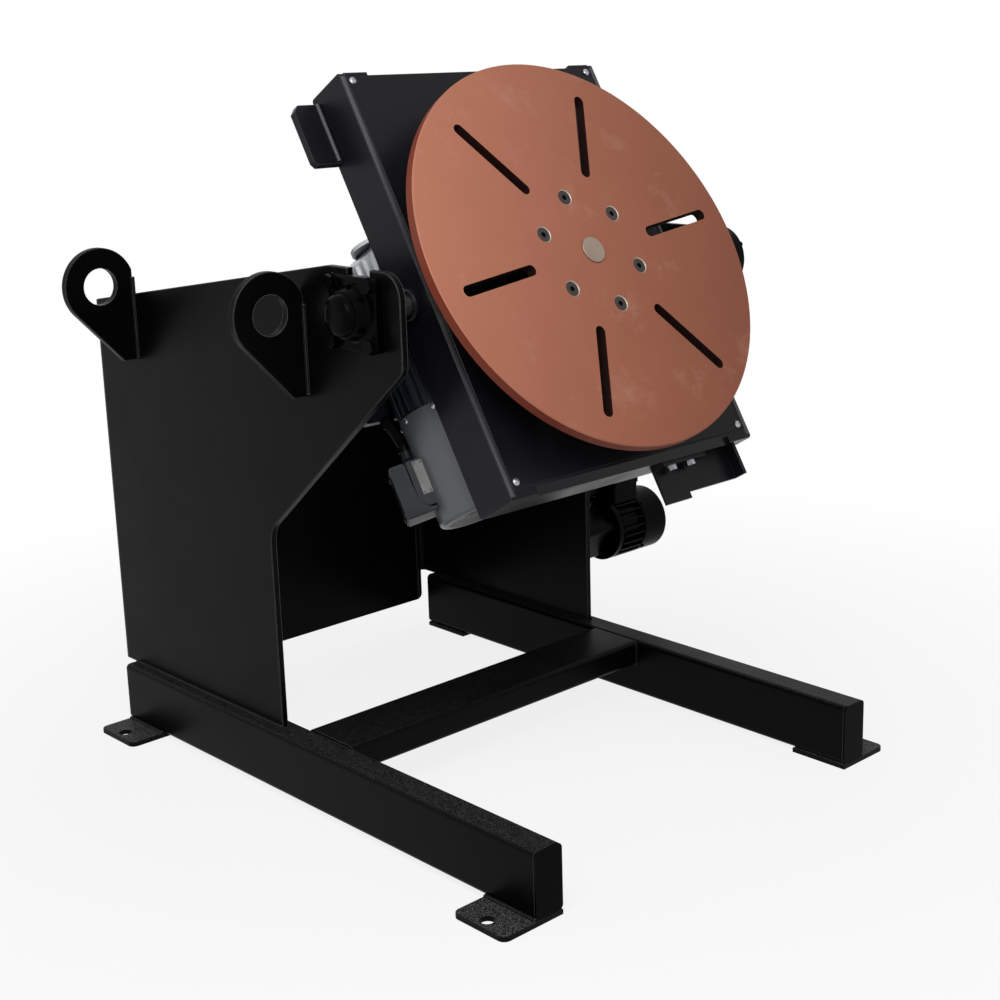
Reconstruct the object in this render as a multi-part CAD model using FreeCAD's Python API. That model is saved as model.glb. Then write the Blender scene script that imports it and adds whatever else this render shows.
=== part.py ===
import FreeCAD, Part
import math
import os
from FreeCAD import Vector

os.makedirs("parts", exist_ok=True)

# Welding positioner: a floor frame, a tilting box and a turning table.
# Millimetres. X runs across from the left column to the right one, -Y is the front, +Z is up.
# The origin lies on the floor at the middle of the four anchor holes.

# ---- floor frame ----
FRAME_W = 740.0
LEG_W = 50.0
LEG_H = 100.0
LEG_L = 1040.0
TUBE_WALL = 4.0
TUBE_R = 8.0
CAP_T = 4.0
FOOT_T = 8.0
FOOT_L = 105.0
FOOT_OUT = 60.0
FOOT_R = 12.0
ANCHOR_R = 11.0
ANCHOR_OUT = 42.0
CROSS_D = 110.0
CROSS_H = 45.0
CROSS_Y = -62.0

# ---- columns ----
COL_T = 10.0
COL_INSET = 21.0
COL_FRONT_LOW = 80.0
COL_FRONT_TOP = -259.5
COL_REAR = 565.0
COL_TOP = 856.0
COL_TOP_REAR = 746.0
COL_FLANGE = 60.0
COL_BEND_R = 20.0
EASED = 1.0
PANEL_T = 5.0
PANEL_LOW = 49.0

# ---- lifting lugs ----
LUG_T = 12.0
LUG_R = 62.0
LUG_HOLE_R = 29.5
LUG_OUT = 58.0
LUG_Z = 786.0
LUG_FOOT_Z = 660.0
LUG_FOOT = 25.0
LUG_YS = {"front": -35.0, "rear": 433.0}

# ---- tilt axis ----
AXIS_Y = -172.0
AXIS_Z = 796.0
TILT_AT_REST = 59.1
AXIS_ABOVE = 4.3
SHAFT_R = 15.0
DRIVE_SHAFT_R = 17.5
BOLT_SQUARE = 83.0
FLANGE_SIDE = 108.0
RUNNING = 0.05
CURVED_GAP = 0.3

# ---- tilting box (table level: y towards the top end, z towards the table) ----
SIDE_GAP = 81.0
BOX_W = FRAME_W - 2 * (COL_INSET + COL_T + SIDE_GAP)
BOX_TOP = 352.0
BOX_LOW = -315.0
BOX_BACK = -36.0
BOX_FRONT = 42.0
BOX_WALL = 10.0
RAIL_LOW_T = 15.0
COVER_T = 8.0
STEP_UP = 5.0
BLOCK = 32.0
BLOCK_T = 20.0
CARRIER_T = 16.0
REAR_T = 10.0

# ---- table and spindle ----
TABLE_R = 310.0
TABLE_T = 18.0
TABLE_FACE = 124.0
SLOT_IN = 134.7
SLOT_OUT = 262.0
SLOT_W = 17.0
SLOT_COUNT = 6
TABLE_TURN = 7.46
TABLE_PCD = 177.0
SINK_R = 12.5
BOLT_R = 6.0
NOSE_R = 19.0
SPINDLE_FLANGE_R = 107.0
SPINDLE_FLANGE_T = 14.0
SPINDLE_R = 30.0

# ---- gears of the rotation drive ----
MODULE = 4.0
PINION_TEETH = 17
GEAR_TEETH = 51
GEAR_BACK = -20.0
GEAR_W = 24.0
PINION_X = -122.0

# ---- rotation gear unit and motor ----
ROT_Z = -105.0
ROT_WORM_OUT = 64.0
ROT_BOX_LOW = -20.0
ROT_BOX_HIGH = 140.0
MOTOR_R = 69.0
MOTOR_SHELL_L = 113.0
MOTOR_END = -293.0
COWL_L = 168.0
COWL_WALL = 2.5
TERMINAL_LEAN = -19.6

# ---- tilt drive on the right column ----
BEVEL_RATIO = 3.0
BEVEL_R = 42.0
BEVEL_GAP = 0.6
WHEEL_BACK = 21.5
TILT_CASE_R = 53.0
TILT_CASE_OUT = 67.0
PRIME_CENTRES = 40.0
PRIME_WORM_R = 12.0
DRIVE_X = FRAME_W / 2 - COL_INSET + 36.0
TILT_MOTOR_Y = 140.0
TILT_MOTOR_Z = 255.0
TILT_MOTOR_R = 60.0
PRIME_CASE_W = 81.0
TILT_MOTOR_L = 80.0
TILT_COWL_L = 60.0
TILT_MOTOR_END = FRAME_W / 2 - COL_INSET + PRIME_CASE_W + TILT_MOTOR_L + TILT_COWL_L - 9.0

X = Vector(1, 0, 0)
Y = Vector(0, 1, 0)
Z = Vector(0, 0, 1)


def box(x0, x1, y0, y1, z0, z1):
    return Part.makeBox(x1 - x0, y1 - y0, z1 - z0, Vector(x0, y0, z0))


def rod(radius, length, base, along):
    return Part.makeCylinder(radius, length, base, along)


def ring(outer, inner, length, base, along):
    body = rod(outer, length, base, along)
    hole = rod(inner, length + 2.0, base - along * 1.0, along)
    return body.cut(hole)


def prism(points, along):
    wire = Part.makePolygon(points + [points[0]])
    return Part.Face(wire).extrude(along)


def rounded(solid, radius, direction):
    """Round every straight edge of the solid that runs along one direction."""
    edges = []
    for edge in solid.Edges:
        if len(edge.Vertexes) != 2:
            continue
        run = edge.Vertexes[1].Point - edge.Vertexes[0].Point
        if run.Length > 0.5 and abs(abs(run.normalize().dot(direction)) - 1.0) < 1e-6:
            edges.append(edge)
    return solid.makeFillet(radius, edges)


def eased(solid, size, along, at):
    """Chamfer every edge of the face that lies square to an axis at one place on it."""
    edges = []
    for edge in solid.Edges:
        if all(abs(v.Point.dot(along) - at) < 0.01 for v in edge.Vertexes):
            edges.append(edge)
    return solid.makeChamfer(size, edges)


def hexagon(across, length, base, along, turn=0.0):
    """Hexagonal prism, such as a bolt head or a nut, standing on base."""
    side = Vector(0, 0, 1) if abs(along.z) < 0.9 else Vector(0, 1, 0)
    side = (side - along * side.dot(along)).normalize()
    other = along.cross(side)
    points = []
    for k in range(6):
        angle = math.radians(60 * k + turn)
        arm = side * math.cos(angle) + other * math.sin(angle)
        points.append(base + arm * (across / math.sqrt(3.0)))
    return prism(points, along * length)


def fused(shapes):
    body = shapes[0]
    for shape in shapes[1:]:
        body = body.fuse(shape)
    return body.removeSplitter()


def save(node, shape):
    shape.exportStep("parts/" + node + ".step")


def mirrored(shape):
    return shape.mirror(Vector(0, 0, 0), X)


# ---------------------------------------------------------------- floor frame
def leg_tube():
    """Rectangular hollow section of the left leg, open at both ends."""
    x0 = -FRAME_W / 2
    y0 = -LEG_L / 2 + CAP_T
    outer = box(x0, x0 + LEG_W, y0, -y0, FOOT_T, FOOT_T + LEG_H)
    outer = rounded(outer, TUBE_R, Y)
    inner = box(x0 + TUBE_WALL, x0 + LEG_W - TUBE_WALL, y0 - 1, -y0 + 1,
                FOOT_T + TUBE_WALL, FOOT_T + LEG_H - TUBE_WALL)
    inner = rounded(inner, TUBE_R - TUBE_WALL, Y)
    return outer.cut(inner)


def leg_caps():
    """The four plates welded over the open ends of the legs."""
    caps = []
    for x0 in (-FRAME_W / 2, FRAME_W / 2 - LEG_W):
        for y0 in (-LEG_L / 2, LEG_L / 2 - CAP_T):
            cap = box(x0, x0 + LEG_W, y0, y0 + CAP_T, FOOT_T, FOOT_T + LEG_H)
            caps.append(rounded(cap, TUBE_R, Y))
    return Part.makeCompound(caps)


def foot(front):
    """Left floor plate under a leg's end, with its anchor hole outside the leg."""
    x0 = -FRAME_W / 2 - FOOT_OUT
    x1 = -FRAME_W / 2 + LEG_W
    y0 = -LEG_L / 2 if front else LEG_L / 2 - FOOT_L
    plate = box(x0, x1, y0, y0 + FOOT_L, 0, FOOT_T)
    corners = [e for e in plate.Edges if abs(e.Vertexes[0].X - x0) < 0.01
               and abs(e.Vertexes[1].X - x0) < 0.01 and abs(e.Vertexes[0].Z - e.Vertexes[1].Z) > 1]
    plate = plate.makeFillet(FOOT_R, corners)
    plate = eased(plate, EASED, Z, FOOT_T)
    hole = rod(ANCHOR_R, FOOT_T + 2, Vector(-FRAME_W / 2 - ANCHOR_OUT, y0 + FOOT_L / 2, -1), Z)
    return plate.cut(hole)


def cross_member():
    """Flat rectangular tube between the legs, its top level with theirs."""
    half = FRAME_W / 2 - LEG_W
    top = FOOT_T + LEG_H
    outer = box(-half, half, CROSS_Y, CROSS_Y + CROSS_D, top - CROSS_H, top)
    outer = rounded(outer, TUBE_R, X)
    inner = box(-half - 1, half + 1, CROSS_Y + TUBE_WALL, CROSS_Y + CROSS_D - TUBE_WALL,
                top - CROSS_H + TUBE_WALL, top - TUBE_WALL)
    inner = rounded(inner, TUBE_R - TUBE_WALL, X)
    return outer.cut(inner)


def column_outline():
    """Left column plate seen from the side, with its sloping top and cut-back front."""
    base = FOOT_T + LEG_H
    x0 = -FRAME_W / 2 + COL_INSET
    points = [
        Vector(x0, COL_FRONT_LOW, base),
        Vector(x0, COL_REAR, base),
        Vector(x0, COL_REAR, COL_TOP_REAR),
        Vector(x0, -101.0, COL_TOP),
        Vector(x0, COL_FRONT_TOP, COL_TOP),
        Vector(x0, COL_FRONT_TOP, 721.0),
        Vector(x0, COL_FRONT_LOW, 434.0),
    ]
    blank = prism(points, X * COL_FLANGE)
    for y, z, radius in ((COL_REAR, COL_TOP_REAR, 24.0), (COL_FRONT_TOP, COL_TOP, 36.0),
                         (COL_FRONT_TOP, 721.0, 20.0), (COL_FRONT_LOW, 434.0, 45.0)):
        corner = [e for e in blank.Edges if all(abs(v.Y - y) < 0.1 and abs(v.Z - z) < 0.1
                                                for v in e.Vertexes)]
        blank = blank.makeFillet(radius, corner)
    return eased(blank, EASED, X, x0)


def column_section():
    """Plan section of the left column: flat plate, rear bend and return flange."""
    x0 = -FRAME_W / 2 + COL_INSET
    outer = box(x0, x0 + COL_FLANGE, COL_FRONT_TOP - 5, COL_REAR, 0, COL_TOP + 5)
    edge = [e for e in outer.Edges if all(abs(v.X - x0) < 0.1 and abs(v.Y - COL_REAR) < 0.1
                                          for v in e.Vertexes)]
    outer = outer.makeFillet(COL_BEND_R, edge)
    inner = box(x0 + COL_T, x0 + COL_FLANGE + 5, COL_FRONT_TOP - 10, COL_REAR - COL_T, -5, COL_TOP + 10)
    edge = [e for e in inner.Edges if all(abs(v.X - x0 - COL_T) < 0.1
                                          and abs(v.Y - COL_REAR + COL_T) < 0.1 for v in e.Vertexes)]
    inner = inner.makeFillet(COL_BEND_R - COL_T, edge)
    return outer.cut(inner)


def column(slotted):
    """Column plate with its bolt holes; the left one is slotted so the shaft drops in."""
    plate = column_outline().common(column_section())
    x0 = -FRAME_W / 2 + COL_INSET
    centre = Vector(x0 - 1, AXIS_Y, AXIS_Z)
    plate = plate.cut(rod(25.0, COL_T + 2, centre, X))
    if slotted:
        plate = plate.cut(box(x0 - 1, x0 + COL_T + 1, AXIS_Y - 25, AXIS_Y + 25, AXIS_Z, COL_TOP + 5))
    for dy in (-BOLT_SQUARE / 2, BOLT_SQUARE / 2):
        for dz in (-BOLT_SQUARE / 2, BOLT_SQUARE / 2):
            plate = plate.cut(rod(6.5, COL_T + 2, centre + Y * dy + Z * dz, X))
    return plate


def rear_panel():
    """Plate welded between the columns' return flanges, closing the back of the frame."""
    half = FRAME_W / 2 - COL_INSET - COL_T - COL_BEND_R + COL_T - 0.5
    y1 = COL_REAR - COL_T
    panel = box(-half, half, y1 - PANEL_T, y1, PANEL_LOW, COL_TOP_REAR - 8)
    return rounded(panel, 12.0, Y)


def lug(y):
    """Lifting eye on the left column: a ring that runs into a tapered tail."""
    x0 = -FRAME_W / 2 + COL_INSET
    centre = Vector(x0 - LUG_OUT, y - LUG_T / 2, LUG_Z)
    toe = Vector(x0 - LUG_FOOT, y - LUG_T / 2, LUG_FOOT_Z)
    gap = toe - centre
    reach = math.hypot(gap.x, gap.z)
    turn = math.acos(LUG_R / reach)
    aim = math.atan2(gap.z, gap.x) - turn
    touch = centre + Vector(math.cos(aim), 0, math.sin(aim)) * LUG_R
    root = Vector(x0, y - LUG_T / 2, LUG_Z + 14)
    heel = Vector(x0, y - LUG_T / 2, LUG_FOOT_Z)
    tail = prism([root, centre, touch, toe, heel], Y * LUG_T)
    eye = rod(LUG_R, LUG_T, centre, Y)
    body = fused([eye, tail])
    body = body.cut(box(x0, x0 + 20, y - LUG_T, y + LUG_T, LUG_FOOT_Z - 5, LUG_Z + LUG_R + 5))
    for face in (y - LUG_T / 2, y + LUG_T / 2):
        body = eased(body, EASED, Y, face)
    return body.cut(rod(LUG_HOLE_R, LUG_T + 2, centre - Y, Y))


# ---------------------------------------------------------------- left tilt bearing
def bearing_housing():
    """Four-bolt flange bearing on the left column's outer face."""
    x0 = -FRAME_W / 2 + COL_INSET
    half = FLANGE_SIDE / 2
    flange = box(x0 - 13, x0, AXIS_Y - half, AXIS_Y + half, AXIS_Z - half, AXIS_Z + half)
    flange = rounded(flange, 15.0, X)
    centre = Vector(x0, AXIS_Y, AXIS_Z)
    waist = []
    for side in (-1, 1):
        waist.append(rod(60.0, 20, centre + Y * side * 109.0 + X * 3, X * -1))
        waist.append(rod(60.0, 20, centre + Z * side * 109.0 + X * 3, X * -1))
    for cutter in waist:
        flange = flange.cut(cutter)
    hub = Part.makeCone(39.0, 33.0, 32.0, centre, X * -1)
    body = fused([flange, hub])
    body = body.cut(rod(25.0 + CURVED_GAP, 40, centre + X * 2, X * -1))
    for dy in (-BOLT_SQUARE / 2, BOLT_SQUARE / 2):
        for dz in (-BOLT_SQUARE / 2, BOLT_SQUARE / 2):
            body = body.cut(rod(6.5, 20, centre + Y * dy + Z * dz + X * 2, X * -1))
    return body


def flange_bolts(x0, away, grip, head_out):
    """Four bolts on the bolt square: heads on one side of the grip, nuts on the other."""
    out = X * away
    pieces = []
    for dy in (-BOLT_SQUARE / 2, BOLT_SQUARE / 2):
        for dz in (-BOLT_SQUARE / 2, BOLT_SQUARE / 2):
            base = Vector(x0, AXIS_Y + dy, AXIS_Z + dz)
            shank = rod(6.0, grip + COL_T + 12, base - out * (COL_T + 12), out)
            washer = rod(12.0, 2.5, base + out * grip, out)
            head = hexagon(19.0, 8.0, base + out * (grip + 2.5), out, 15.0)
            nut = hexagon(19.0, 9.0, base - out * COL_T, out * -1, 15.0)
            pieces.append(fused([shank, washer, head, nut]))
    return Part.makeCompound(pieces)


def inner_ring():
    """Inner ring of the left bearing; it turns with the trunnion shaft."""
    x0 = -FRAME_W / 2 + COL_INSET
    body = ring(25.0, SHAFT_R, 24.0, Vector(x0 - 4, AXIS_Y, AXIS_Z), X * -1)
    collar = ring(21.0, SHAFT_R, 12.0, Vector(x0 - 28, AXIS_Y, AXIS_Z), X * -1)
    return fused([body, collar])


# ---------------------------------------------------------------- tilting box
# These pieces are drawn with the table level and its centre line through the origin,
# the tilt axis a little above it, then turned to the pose at rest and moved to the axis.
def tilted(shape):
    shape.translate(Vector(0, -AXIS_ABOVE, 0))
    shape.rotate(Vector(0, 0, 0), X, TILT_AT_REST)
    shape.translate(Vector(0, AXIS_Y, AXIS_Z))
    return shape


def box_side():
    x0 = -BOX_W / 2
    plate = box(x0, x0 + BOX_WALL, BOX_LOW, BOX_TOP, BOX_BACK, BOX_FRONT)
    plate = rounded(plate, 5.0, X)
    plate = eased(plate, EASED, X, x0)
    return plate.cut(rod(SHAFT_R, 30, Vector(x0 - 5, AXIS_ABOVE, 0), X))


def top_rail():
    """Upper end plate; its raised ends stand above the cover and its notches take the blocks."""
    half = BOX_W / 2 - BOX_WALL
    y1 = BOX_TOP - STEP_UP
    rail = box(-half, half, y1 - BOX_WALL, y1, BOX_BACK, BOX_FRONT - COVER_T)
    for x0 in (-half - 1, half - BLOCK):
        rail = rail.cut(box(x0, x0 + BLOCK + 1, y1 - BOX_WALL - 1, y1 + 1,
                            BOX_FRONT - COVER_T - BLOCK_T, BOX_FRONT))
    ends = []
    for x0 in (-half, half - 42.0):
        end = box(x0, x0 + 42.0, y1, BOX_TOP, BOX_BACK, BOX_FRONT)
        ends.append(eased(end, EASED, Z, BOX_FRONT))
    return fused([rail] + ends)


def bottom_rail():
    """Lower end plate with a long bevel between its two square ends."""
    half = BOX_W / 2 - BOX_WALL
    rail = box(-half, half, BOX_LOW, BOX_LOW + RAIL_LOW_T, BOX_BACK, BOX_FRONT)
    bevel = prism([Vector(-half + 42, BOX_LOW - 1, BOX_FRONT - 13),
                   Vector(-half + 42, BOX_LOW - 1, BOX_FRONT + 1),
                   Vector(-half + 42, BOX_LOW + 13, BOX_FRONT + 1)], X * (2 * half - 84))
    rail = eased(rail, EASED, Y, BOX_LOW)
    return rail.cut(bevel)


def corner_blocks():
    """Four tapped blocks in the corners of the box that the cover screws into."""
    half = BOX_W / 2 - BOX_WALL
    blocks = []
    for x0 in (-half, half - BLOCK):
        for y0 in (BOX_LOW + RAIL_LOW_T, BOX_TOP - STEP_UP - BLOCK):
            blocks.append(box(x0, x0 + BLOCK, y0, y0 + BLOCK,
                              BOX_FRONT - COVER_T - BLOCK_T, BOX_FRONT - COVER_T))
    return blocks


def screw_places():
    """Centres of the four cover screws, one in each corner of the box."""
    places = []
    for x in (20.0 - BOX_W / 2, BOX_W / 2 - 20.0):
        for y in (BOX_TOP - 14.0, BOX_LOW + 25.0):
            places.append((x, y))
    return places


def front_cover():
    half = BOX_W / 2 - BOX_WALL - 0.5
    plate = box(-half, half, BOX_LOW + RAIL_LOW_T + 0.5, BOX_TOP - STEP_UP,
                BOX_FRONT - COVER_T, BOX_FRONT)
    plate = eased(plate, EASED, Z, BOX_FRONT)
    plate = plate.cut(rod(90.0, 30, Vector(0, 0, BOX_FRONT - 20), Z))
    for x, y in screw_places():
        plate = plate.cut(rod(4.5, 30, Vector(x, y, BOX_FRONT - 20), Z))
    return plate


def cover_screws():
    """Four dome-headed screws in the corners of the cover."""
    pieces = []
    for x, y in screw_places():
        shank = rod(4.0, COVER_T + 16, Vector(x, y, BOX_FRONT - COVER_T - 16), Z)
        dome = Part.makeSphere(12.0, Vector(x, y, BOX_FRONT - 6.0))
        dome = dome.common(rod(8.5, 8, Vector(x, y, BOX_FRONT), Z))
        socket = hexagon(5.0, 5.0, Vector(x, y, BOX_FRONT + 3.0), Z)
        pieces.append(fused([shank, dome]).cut(socket))
    return Part.makeCompound(pieces)


def carrier():
    """Thick web behind the cover that holds the spindle housing, with the corner blocks."""
    half = BOX_W / 2 - BOX_WALL
    z1 = BOX_FRONT - COVER_T - 4
    web = box(-half, half, BOX_LOW + RAIL_LOW_T, BOX_TOP - STEP_UP - BOX_WALL, z1 - CARRIER_T, z1)
    web = web.cut(rod(52.0, 40, Vector(0, 0, z1 - 30), Z))
    body = fused([web] + corner_blocks())
    for x, y in screw_places():
        body = body.cut(rod(4.0, 20, Vector(x, y, BOX_FRONT - COVER_T - 16), Z))
    for x, y in bolt_circle(8, 72.0, 22.5):
        body = body.cut(rod(5.0, 40, Vector(x, y, z1 - 30), Z))
    return body


def bolt_circle(count, radius, start):
    places = []
    for k in range(count):
        angle = math.radians(start + 360.0 * k / count)
        places.append((radius * math.cos(angle), radius * math.sin(angle)))
    return places


def spindle_housing():
    """Turned barrel with a bolted flange; the spindle runs in its two bronze-lined seats."""
    z1 = BOX_FRONT - COVER_T - 4
    profile = [
        Vector(SPINDLE_R + RUNNING, 0, z1 - CARRIER_T + 1),
        Vector(52.0, 0, z1 - CARRIER_T + 1),
        Vector(52.0, 0, z1),
        Vector(86.0, 0, z1),
        Vector(86.0, 0, z1 + 13),
        Vector(62.0, 0, z1 + 15),
        Vector(58.0, 0, z1 + 22),
        Vector(58.0, 0, 80.0),
        Vector(54.0, 0, 84.0),
        Vector(SPINDLE_R + RUNNING, 0, 84.0),
        Vector(SPINDLE_R + RUNNING, 0, 62.0),
        Vector(SPINDLE_R + 6, 0, 60.0),
        Vector(SPINDLE_R + 6, 0, 36.0),
        Vector(SPINDLE_R + RUNNING, 0, 34.0),
    ]
    face = Part.Face(Part.makePolygon(profile + [profile[0]]))
    barrel = face.revolve(Vector(0, 0, 0), Z, 360)
    for x, y in bolt_circle(8, 72.0, 22.5):
        barrel = barrel.cut(rod(5.0, 60, Vector(x, y, z1 - 5), Z))
    return barrel


def rear_plate():
    """Rear cross plate between the box sides; the gear unit is bolted to its back."""
    half = BOX_W / 2 - BOX_WALL
    plate = box(-half, half, -150.0, 190.0, BOX_BACK, BOX_BACK + REAR_T)
    plate = plate.cut(rod(52.0, 30, Vector(0, 0, BOX_BACK - 10), Z))
    pinion = Vector(PINION_X, pinion_y(), BOX_BACK - 10)
    plate = plate.cut(rod(22.0, 30, pinion, Z))
    return plate


def pinion_y():
    centres = MODULE * (PINION_TEETH + GEAR_TEETH) / 2
    return math.sqrt(centres ** 2 - PINION_X ** 2)


def trunnion(side, radius, length):
    """Shaft with a round flange welded to the side of the box."""
    out = X * side
    base = Vector(side * BOX_W / 2, AXIS_ABOVE, 0)
    flange = rod(35.0, 16.0, base, out)
    edge = [e for e in flange.Edges if e.Curve.TypeId == "Part::GeomCircle"
            and abs(abs(e.Curve.Center.x) - BOX_W / 2 - 16.0) < 0.1]
    flange = flange.makeChamfer(2.5, edge)
    shaft = rod(radius, length, base, out)
    spigot = rod(SHAFT_R, BOX_WALL, base - out * BOX_WALL, out)
    tip = [e for e in shaft.Edges if e.Curve.TypeId == "Part::GeomCircle"
           and abs(abs(e.Curve.Center.x) - BOX_W / 2 - length) < 0.1]
    shaft = shaft.makeChamfer(1.5, tip)
    return fused([spigot, flange, shaft])


def stop_ear():
    """Flat ear at the top left of the box that comes to rest on the column's stop."""
    x1 = -BOX_W / 2
    points = [(x1, 339), (x1 - 38, 339), (x1 - 47, 329), (x1 - 47, 250), (x1 - 42, 243), (x1, 243)]
    return prism([Vector(x, y, BOX_BACK) for x, y in points], Z * 12.0)


def lower_bracket():
    """Stepped plate under the box with a bent lip at its outer end."""
    z0 = -5.0
    low = BOX_LOW
    right = BOX_W / 2 - 20.0
    left = right - 172.0
    steps = [(left, low), (left, low - 60), (left + 56, low - 60), (left + 56, low - 50),
             (right, low - 50), (right, low)]
    plate = prism([Vector(x, y, z0) for x, y in steps], Z * 6.0)
    lip = box(right - 6, right, low - 50, low, z0, z0 + 26)
    shelf = box(left, left + 94, low - 6, low, z0, z0 + 30)
    body = fused([plate, lip, shelf])
    for x in bracket_bolt_places():
        body = body.cut(rod(4.5, 20, Vector(x, low - 10, z0 + 18), Y))
    return body


def bracket_bolt_places():
    return BOX_W / 2 - 166.0, BOX_W / 2 - 124.0


def bracket_bolts():
    pieces = []
    for x in bracket_bolt_places():
        base = Vector(x, BOX_LOW - 6, 13.0)
        washer = rod(8.5, 1.6, base, Y * -1)
        head = hexagon(13.0, 5.5, base - Y * 1.6, Y * -1, 20.0)
        shank = rod(4.0, 6.0, base + Y * 6, Y * -1)
        pieces.append(fused([shank, washer, head]))
    return Part.makeCompound(pieces)


# ---------------------------------------------------------------- table and spindle
def table_disc():
    """Round table plate with clamping slots and countersunk holes for its bolts."""
    z0 = TABLE_FACE - TABLE_T
    disc = rod(TABLE_R, TABLE_T, Vector(0, 0, z0), Z)
    rims = [e for e in disc.Edges if e.Curve.TypeId == "Part::GeomCircle"]
    disc = disc.makeChamfer(1.5, rims)
    for k in range(SLOT_COUNT):
        angle = TABLE_TURN + 360.0 * k / SLOT_COUNT
        slot = box(SLOT_IN, SLOT_OUT, -SLOT_W / 2, SLOT_W / 2, z0 - 1, TABLE_FACE + 1)
        for x in (SLOT_IN, SLOT_OUT):
            slot = slot.fuse(rod(SLOT_W / 2, TABLE_T + 2, Vector(x, 0, z0 - 1), Z))
        slot.rotate(Vector(0, 0, 0), Z, angle)
        disc = disc.cut(slot)
    disc = disc.cut(rod(NOSE_R, TABLE_T + 2, Vector(0, 0, z0 - 1), Z))
    for x, y in bolt_circle(6, TABLE_PCD / 2, TABLE_TURN + 30):
        disc = disc.cut(rod(BOLT_R, TABLE_T + 2, Vector(x, y, z0 - 1), Z))
        sink = Part.makeCone(BOLT_R, SINK_R, SINK_R - BOLT_R, Vector(x, y, TABLE_FACE - SINK_R + BOLT_R), Z)
        disc = disc.cut(sink)
    return disc


def table_bolts():
    """Six countersunk socket screws that hold the table to the spindle flange."""
    pieces = []
    depth = SINK_R - BOLT_R
    for x, y in bolt_circle(6, TABLE_PCD / 2, TABLE_TURN + 30):
        shank = rod(BOLT_R, TABLE_T + 12 - depth, Vector(x, y, TABLE_FACE - TABLE_T - 12), Z)
        head = Part.makeCone(BOLT_R, SINK_R - 1.0, depth - 1.0, Vector(x, y, TABLE_FACE - depth), Z)
        socket = hexagon(8.0, 8.0, Vector(x, y, TABLE_FACE - 6.5), Z, 10.0)
        pieces.append(fused([shank, head]).cut(socket))
    return Part.makeCompound(pieces)


def spindle():
    """Main shaft: nose in the table, bolting flange, journal and rear end for the gear."""
    z2 = TABLE_FACE - TABLE_T
    z1 = z2 - SPINDLE_FLANGE_T
    profile = [
        Vector(0, 0, -60.0),
        Vector(24.0, 0, -60.0),
        Vector(25.0, 0, -59.0),
        Vector(25.0, 0, GEAR_BACK + GEAR_W),
        Vector(SPINDLE_R, 0, GEAR_BACK + GEAR_W),
        Vector(SPINDLE_R, 0, z1),
        Vector(SPINDLE_FLANGE_R - 2, 0, z1),
        Vector(SPINDLE_FLANGE_R, 0, z1 + 2),
        Vector(SPINDLE_FLANGE_R, 0, z2),
        Vector(NOSE_R, 0, z2),
        Vector(NOSE_R, 0, TABLE_FACE + 1.0),
        Vector(NOSE_R - 1.5, 0, TABLE_FACE + 2.5),
        Vector(14.0, 0, TABLE_FACE + 2.5),
        Vector(14.0, 0, TABLE_FACE + 1.0),
        Vector(11.0, 0, TABLE_FACE + 1.0),
        Vector(11.0, 0, TABLE_FACE + 2.5),
        Vector(4.0, 0, TABLE_FACE + 2.5),
        Vector(0, 0, TABLE_FACE - 2.0),
    ]
    face = Part.Face(Part.makePolygon(profile + [profile[0]]))
    shaft = face.revolve(Vector(0, 0, 0), Z, 360)
    for x, y in bolt_circle(6, TABLE_PCD / 2, TABLE_TURN + 30):
        shaft = shaft.cut(rod(BOLT_R, 13, Vector(x, y, z2 - 12), Z))
    return shaft


def toothed(teeth, bore, z0, width, centre, phase):
    """Spur gear blank with straight-flanked teeth, thinned for running backlash."""
    pitch = MODULE * teeth / 2
    tip = pitch + 0.9 * MODULE
    root = pitch - 1.2 * MODULE
    step = 2 * math.pi / teeth
    points = []
    for k in range(teeth):
        mid = phase + k * step
        for radius, share in ((root, -0.33), (tip, -0.115), (tip, 0.115), (root, 0.33)):
            angle = mid + share * step
            points.append(Vector(centre[0] + radius * math.cos(angle),
                                 centre[1] + radius * math.sin(angle), z0))
    body = prism(points, Z * width)
    return body.cut(rod(bore, width + 2, Vector(centre[0], centre[1], z0 - 1), Z))


def gear_phases():
    """Set the gear with a gap, and the pinion with a tooth, on the line of centres."""
    line = math.atan2(pinion_y(), PINION_X)
    gear = line + math.pi / GEAR_TEETH
    pinion = line + math.pi
    return gear, pinion


def main_gear():
    gear, _ = gear_phases()
    blank = toothed(GEAR_TEETH, 25.0, GEAR_BACK, GEAR_W, (0, 0), gear)
    for x, y in bolt_circle(6, 60.0, 0.0):
        blank = blank.cut(rod(14.0, GEAR_W + 2, Vector(x, y, GEAR_BACK - 1), Z))
    return blank


def earth_ring():
    """Lock ring behind the gear that also carries the welding return current."""
    body = ring(42.0, 25.0, 12.0, Vector(0, 0, -58.0), Z)
    sleeve = ring(34.0, 25.0, 58.0 - 12.0 + GEAR_BACK, Vector(0, 0, -46.0), Z)
    return fused([body, sleeve])


def earth_brush():
    """Brush holder on the rear plate, its carbon face close to the ring."""
    y0 = -42.0 - CURVED_GAP
    block = box(-14, 14, y0 - 22, y0, -59.0, -45.0)
    arm = box(-16, 16, y0 - 62, y0 - 12, -45.0, BOX_BACK)
    body = fused([block, arm])
    return body.cut(rod(42.0 + CURVED_GAP, 40, Vector(0, 0, -80), Z))


# ---------------------------------------------------------------- rotation drive
def pinion_shaft():
    """Output shaft of the gear unit with the pinion cut on its front end."""
    _, phase = gear_phases()
    centre = (PINION_X, pinion_y())
    gear = toothed(PINION_TEETH, 10.0, GEAR_BACK, GEAR_W, centre, phase)
    shaft = rod(12.5, GEAR_BACK - ROT_Z + 47.0, Vector(centre[0], centre[1], ROT_Z - 47), Z)
    core = rod(11.0, GEAR_W, Vector(centre[0], centre[1], GEAR_BACK), Z)
    return fused([gear, core, shaft])


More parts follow.
